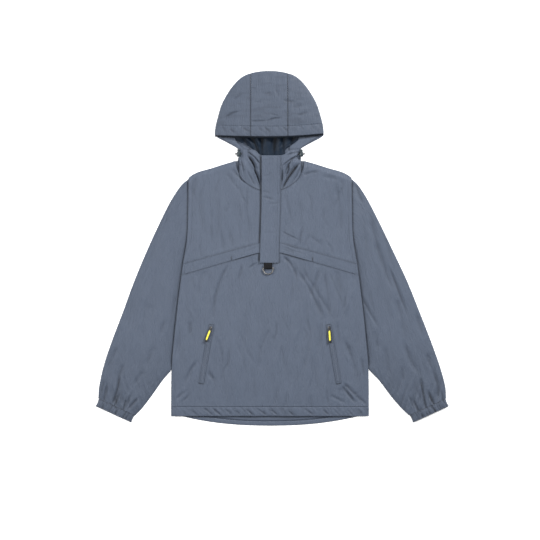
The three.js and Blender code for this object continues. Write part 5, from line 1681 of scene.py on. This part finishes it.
def stitch_tree():
    tree = new_tree("stitch_row", {"Pitch": 0.0032, "Length": 0.0025, "Thread": 0.00055, "Turn": 0.0})
    given = tree.nodes.new("NodeGroupInput").outputs
    row = add_node(tree, "GeometryNodeMeshToCurve", Mesh=given["Paths"])
    by_length = {"mode": "LENGTH"}
    cut = add_node(tree, "GeometryNodeResampleCurve", by_length, Curve=row.outputs[0], Length=given["Pitch"])
    ball = add_node(tree, "GeometryNodeMeshUVSphere", Segments=8, Rings=4, Radius=0.5)
    size = add_node(tree, "ShaderNodeCombineXYZ", X=given["Length"], Y=given["Thread"], Z=given["Thread"])
    stitch = add_node(tree, "GeometryNodeTransform", Geometry=ball.outputs["Mesh"], Scale=size.outputs[0])
    angle = add_node(tree, "ShaderNodeCombineXYZ", Z=given["Turn"])
    stitch = add_node(tree, "GeometryNodeTransform", Geometry=stitch.outputs[0], Rotation=angle.outputs[0])
    along = add_node(tree, "GeometryNodeInputTangent")
    facing = add_node(tree, "FunctionNodeAlignRotationToVector", {"axis": "X"}, Vector=along.outputs[0])
    each = {"Points": cut.outputs[0], "Instance": stitch.outputs[0], "Rotation": facing.outputs[0]}
    rows = add_node(tree, "GeometryNodeInstanceOnPoints", **each)
    real = add_node(tree, "GeometryNodeRealizeInstances", Geometry=rows.outputs[0])
    soft = add_node(tree, "GeometryNodeSetShadeSmooth", Geometry=real.outputs[0])
    done = add_node(tree, "GeometryNodeSetMaterial", Geometry=soft.outputs[0], Material=given["Finish"])
    out = tree.nodes.new("NodeGroupOutput")
    tree.links.new(done.outputs[0], out.inputs[0])
    return tree


STITCHES = stitch_tree()


def sew(name, paths, finish, slot, **sizes):
    """Real stitches along paths, each a list of points in millimetres."""
    points, edges = [], []
    for path in paths:
        base = len(points)
        points += [[float(c) * MM for c in p] for p in path]
        edges += [(base + k, base + k + 1) for k in range(len(path) - 1)]
    mesh = bpy.data.meshes.new(name)
    mesh.from_pydata(points, edges, [])
    rows = bpy.data.objects.new(name, mesh)
    scene.collection.objects.link(rows)
    tool = rows.modifiers.new("stitches", "NODES")
    tool.node_group = STITCHES
    inputs = {item.name: item.identifier for item in STITCHES.interface.items_tree if item.in_out == "INPUT"}
    for label, value in sizes.items():
        tool[inputs[label]] = value
    tool[inputs["Finish"]] = finish
    made = bpy.data.meshes.new_from_object(rows.evaluated_get(bpy.context.evaluated_depsgraph_get()))
    bpy.data.objects.remove(rows)
    made.name = name
    piece = bpy.data.objects.new(name, made)
    scene.collection.objects.link(piece)
    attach(piece, "garment")
    print(f"{name}: {len(made.polygons)} faces")

# %% Rows of topstitching
ABOVE, STITCH_STEP = 0.12, 2.0


def row(x, y, z):
    return np.stack(np.broadcast_arrays(x, y, z + ABOVE), 1)


paths = []
for side, sign in SIDES:
    tack = abs(BAR_TACK[side])
    y = np.arange(78, 246, STITCH_STEP)
    x = side_of(y) - ARMHOLE_STITCH
    level = YOKE_TOP + 0.5 * (1 - smooth(0, 30, y - flap_top(x)))
    z = front_top(sign * x, y, level) + armhole_dip(y, np.full(y.shape, ARMHOLE_STITCH))
    paths.append(row(sign * x, y, z))
    x = np.arange(34, 226, STITCH_STEP)
    y = flap_top(x) + YOKE_STITCH
    z = front_top(sign * x, y, YOKE_TOP + 0.5) - 0.12
    paths.append(row(sign * x, y, z))
    x = np.arange(tack + 4, 228, STITCH_STEP)
    y = flap_edge(x) + FLAP_STITCH
    z = FLAP_LEVEL - 0.3 - 0.1 + 0 * x
    paths.append(row(sign * x, y, z))
for from_sewn in PLACKET_STITCHES:
    y = np.arange(26, 309, STITCH_STEP)
    across = PLACKET_WIDTH - from_sewn + 0 * y
    paths.append(row(PLACKET["left"] + across + placket_shift(y), y, placket_top(across, y)))
across = np.arange(3, 50, 1.5)
y = PLACKET["low"] + PLACKET["hem"] + 0 * across
paths.append(row(PLACKET["left"] + across + placket_shift(y), y, placket_top(across, y)))
x = np.arange(-262, 263, STITCH_STEP)
y = HEM_STITCH_Y + 2.0 + 0 * x
paths.append(row(x, y, front_top(x, y, LOWER_TOP) - 0.05))
for low_x, high_x in ((-146, -51.6), (-48.4, 48.4), (51.6, 146)):
    x = np.arange(low_x, high_x, STITCH_STEP)
    y = brim_of(x) + BRIM_HEM
    deg = np.degrees(np.arctan2(y - HOOD_Y, np.abs(x)))
    inside = np.hypot(x, y - HOOD_Y) < hood_radius(deg) - 1
    x, y = x[inside], y[inside]
    paths.append(row(x + HOOD_X, y, hood_top(x, y)))
for sign in (-1, 1):
    y = np.arange(HOOD_Y + 4, float(hood_crown(HOOD_STRIP + HOOD_STITCH)) - 6, STITCH_STEP)
    x = sign * (HOOD_STRIP + HOOD_STITCH) + 0 * y
    paths.append(row(x + HOOD_X, y, hood_top(x, y)))
for side in ("left", "right"):
    middle, length, turn = pocket_place(side)
    for across in (-5.1, 5.1):
        y = np.arange(-length / 2 + 1.3, length / 2 - 1.2, STITCH_STEP)
        spot = np.stack([across + 0 * y, y, ON_PANEL + POCKET["wall"] - 0.05 + 0 * y], 1)
        paths.append(turned(spot[None], turn, middle)[0])
sew("topstitching", paths, thread, "shell", Pitch=0.0032, Length=0.0026, Thread=0.0005)

# %% Bar tacks
tacks = []
for side, sign in SIDES:
    tack = BAR_TACK[side]
    y = np.arange(float(flap_low(tack)) + 1.2, float(flap_low(tack)) + 12, 1.0)
    tacks.append(row(tack + 0 * y, y, FLAP_LEVEL - 0.1 + 0 * y))
    middle, length, turn = pocket_place(side)
    for end in (-1, 1):
        across = np.linspace(-5.6, 5.6, 12)
        spot = np.stack([across, end * (length / 2 + 1.2) + 0 * across, ON_PANEL + 0.05 + 0 * across], 1)
        tacks.append(turned(spot[None], turn, middle)[0])
sew("bar_tacks", tacks, thread, "shell", Pitch=0.0007, Length=0.0024, Thread=0.0006, Turn=math.pi / 2)

# %% [markdown]
# ## Zip coils
# The pocket zips are coil zips. The same tree lays the coil's turns across the tape, close together.

# %% Coils
coils = []
for side in ("left", "right"):
    middle, length, turn = pocket_place(side)
    for offset in (-0.95, 0.95):
        y = np.linspace(-length / 2 + 5, length / 2 - 5, 60)
        spot = np.stack([offset + 0 * y, y, ON_PANEL + TAPE_WALL + 0.25 + 0 * y], 1)
        coils.append(turned(spot[None], turn, middle)[0])
sew("pocket_coils", coils, coil, "shell", Pitch=0.0013, Length=0.0019, Thread=0.0006, Turn=math.pi / 2)
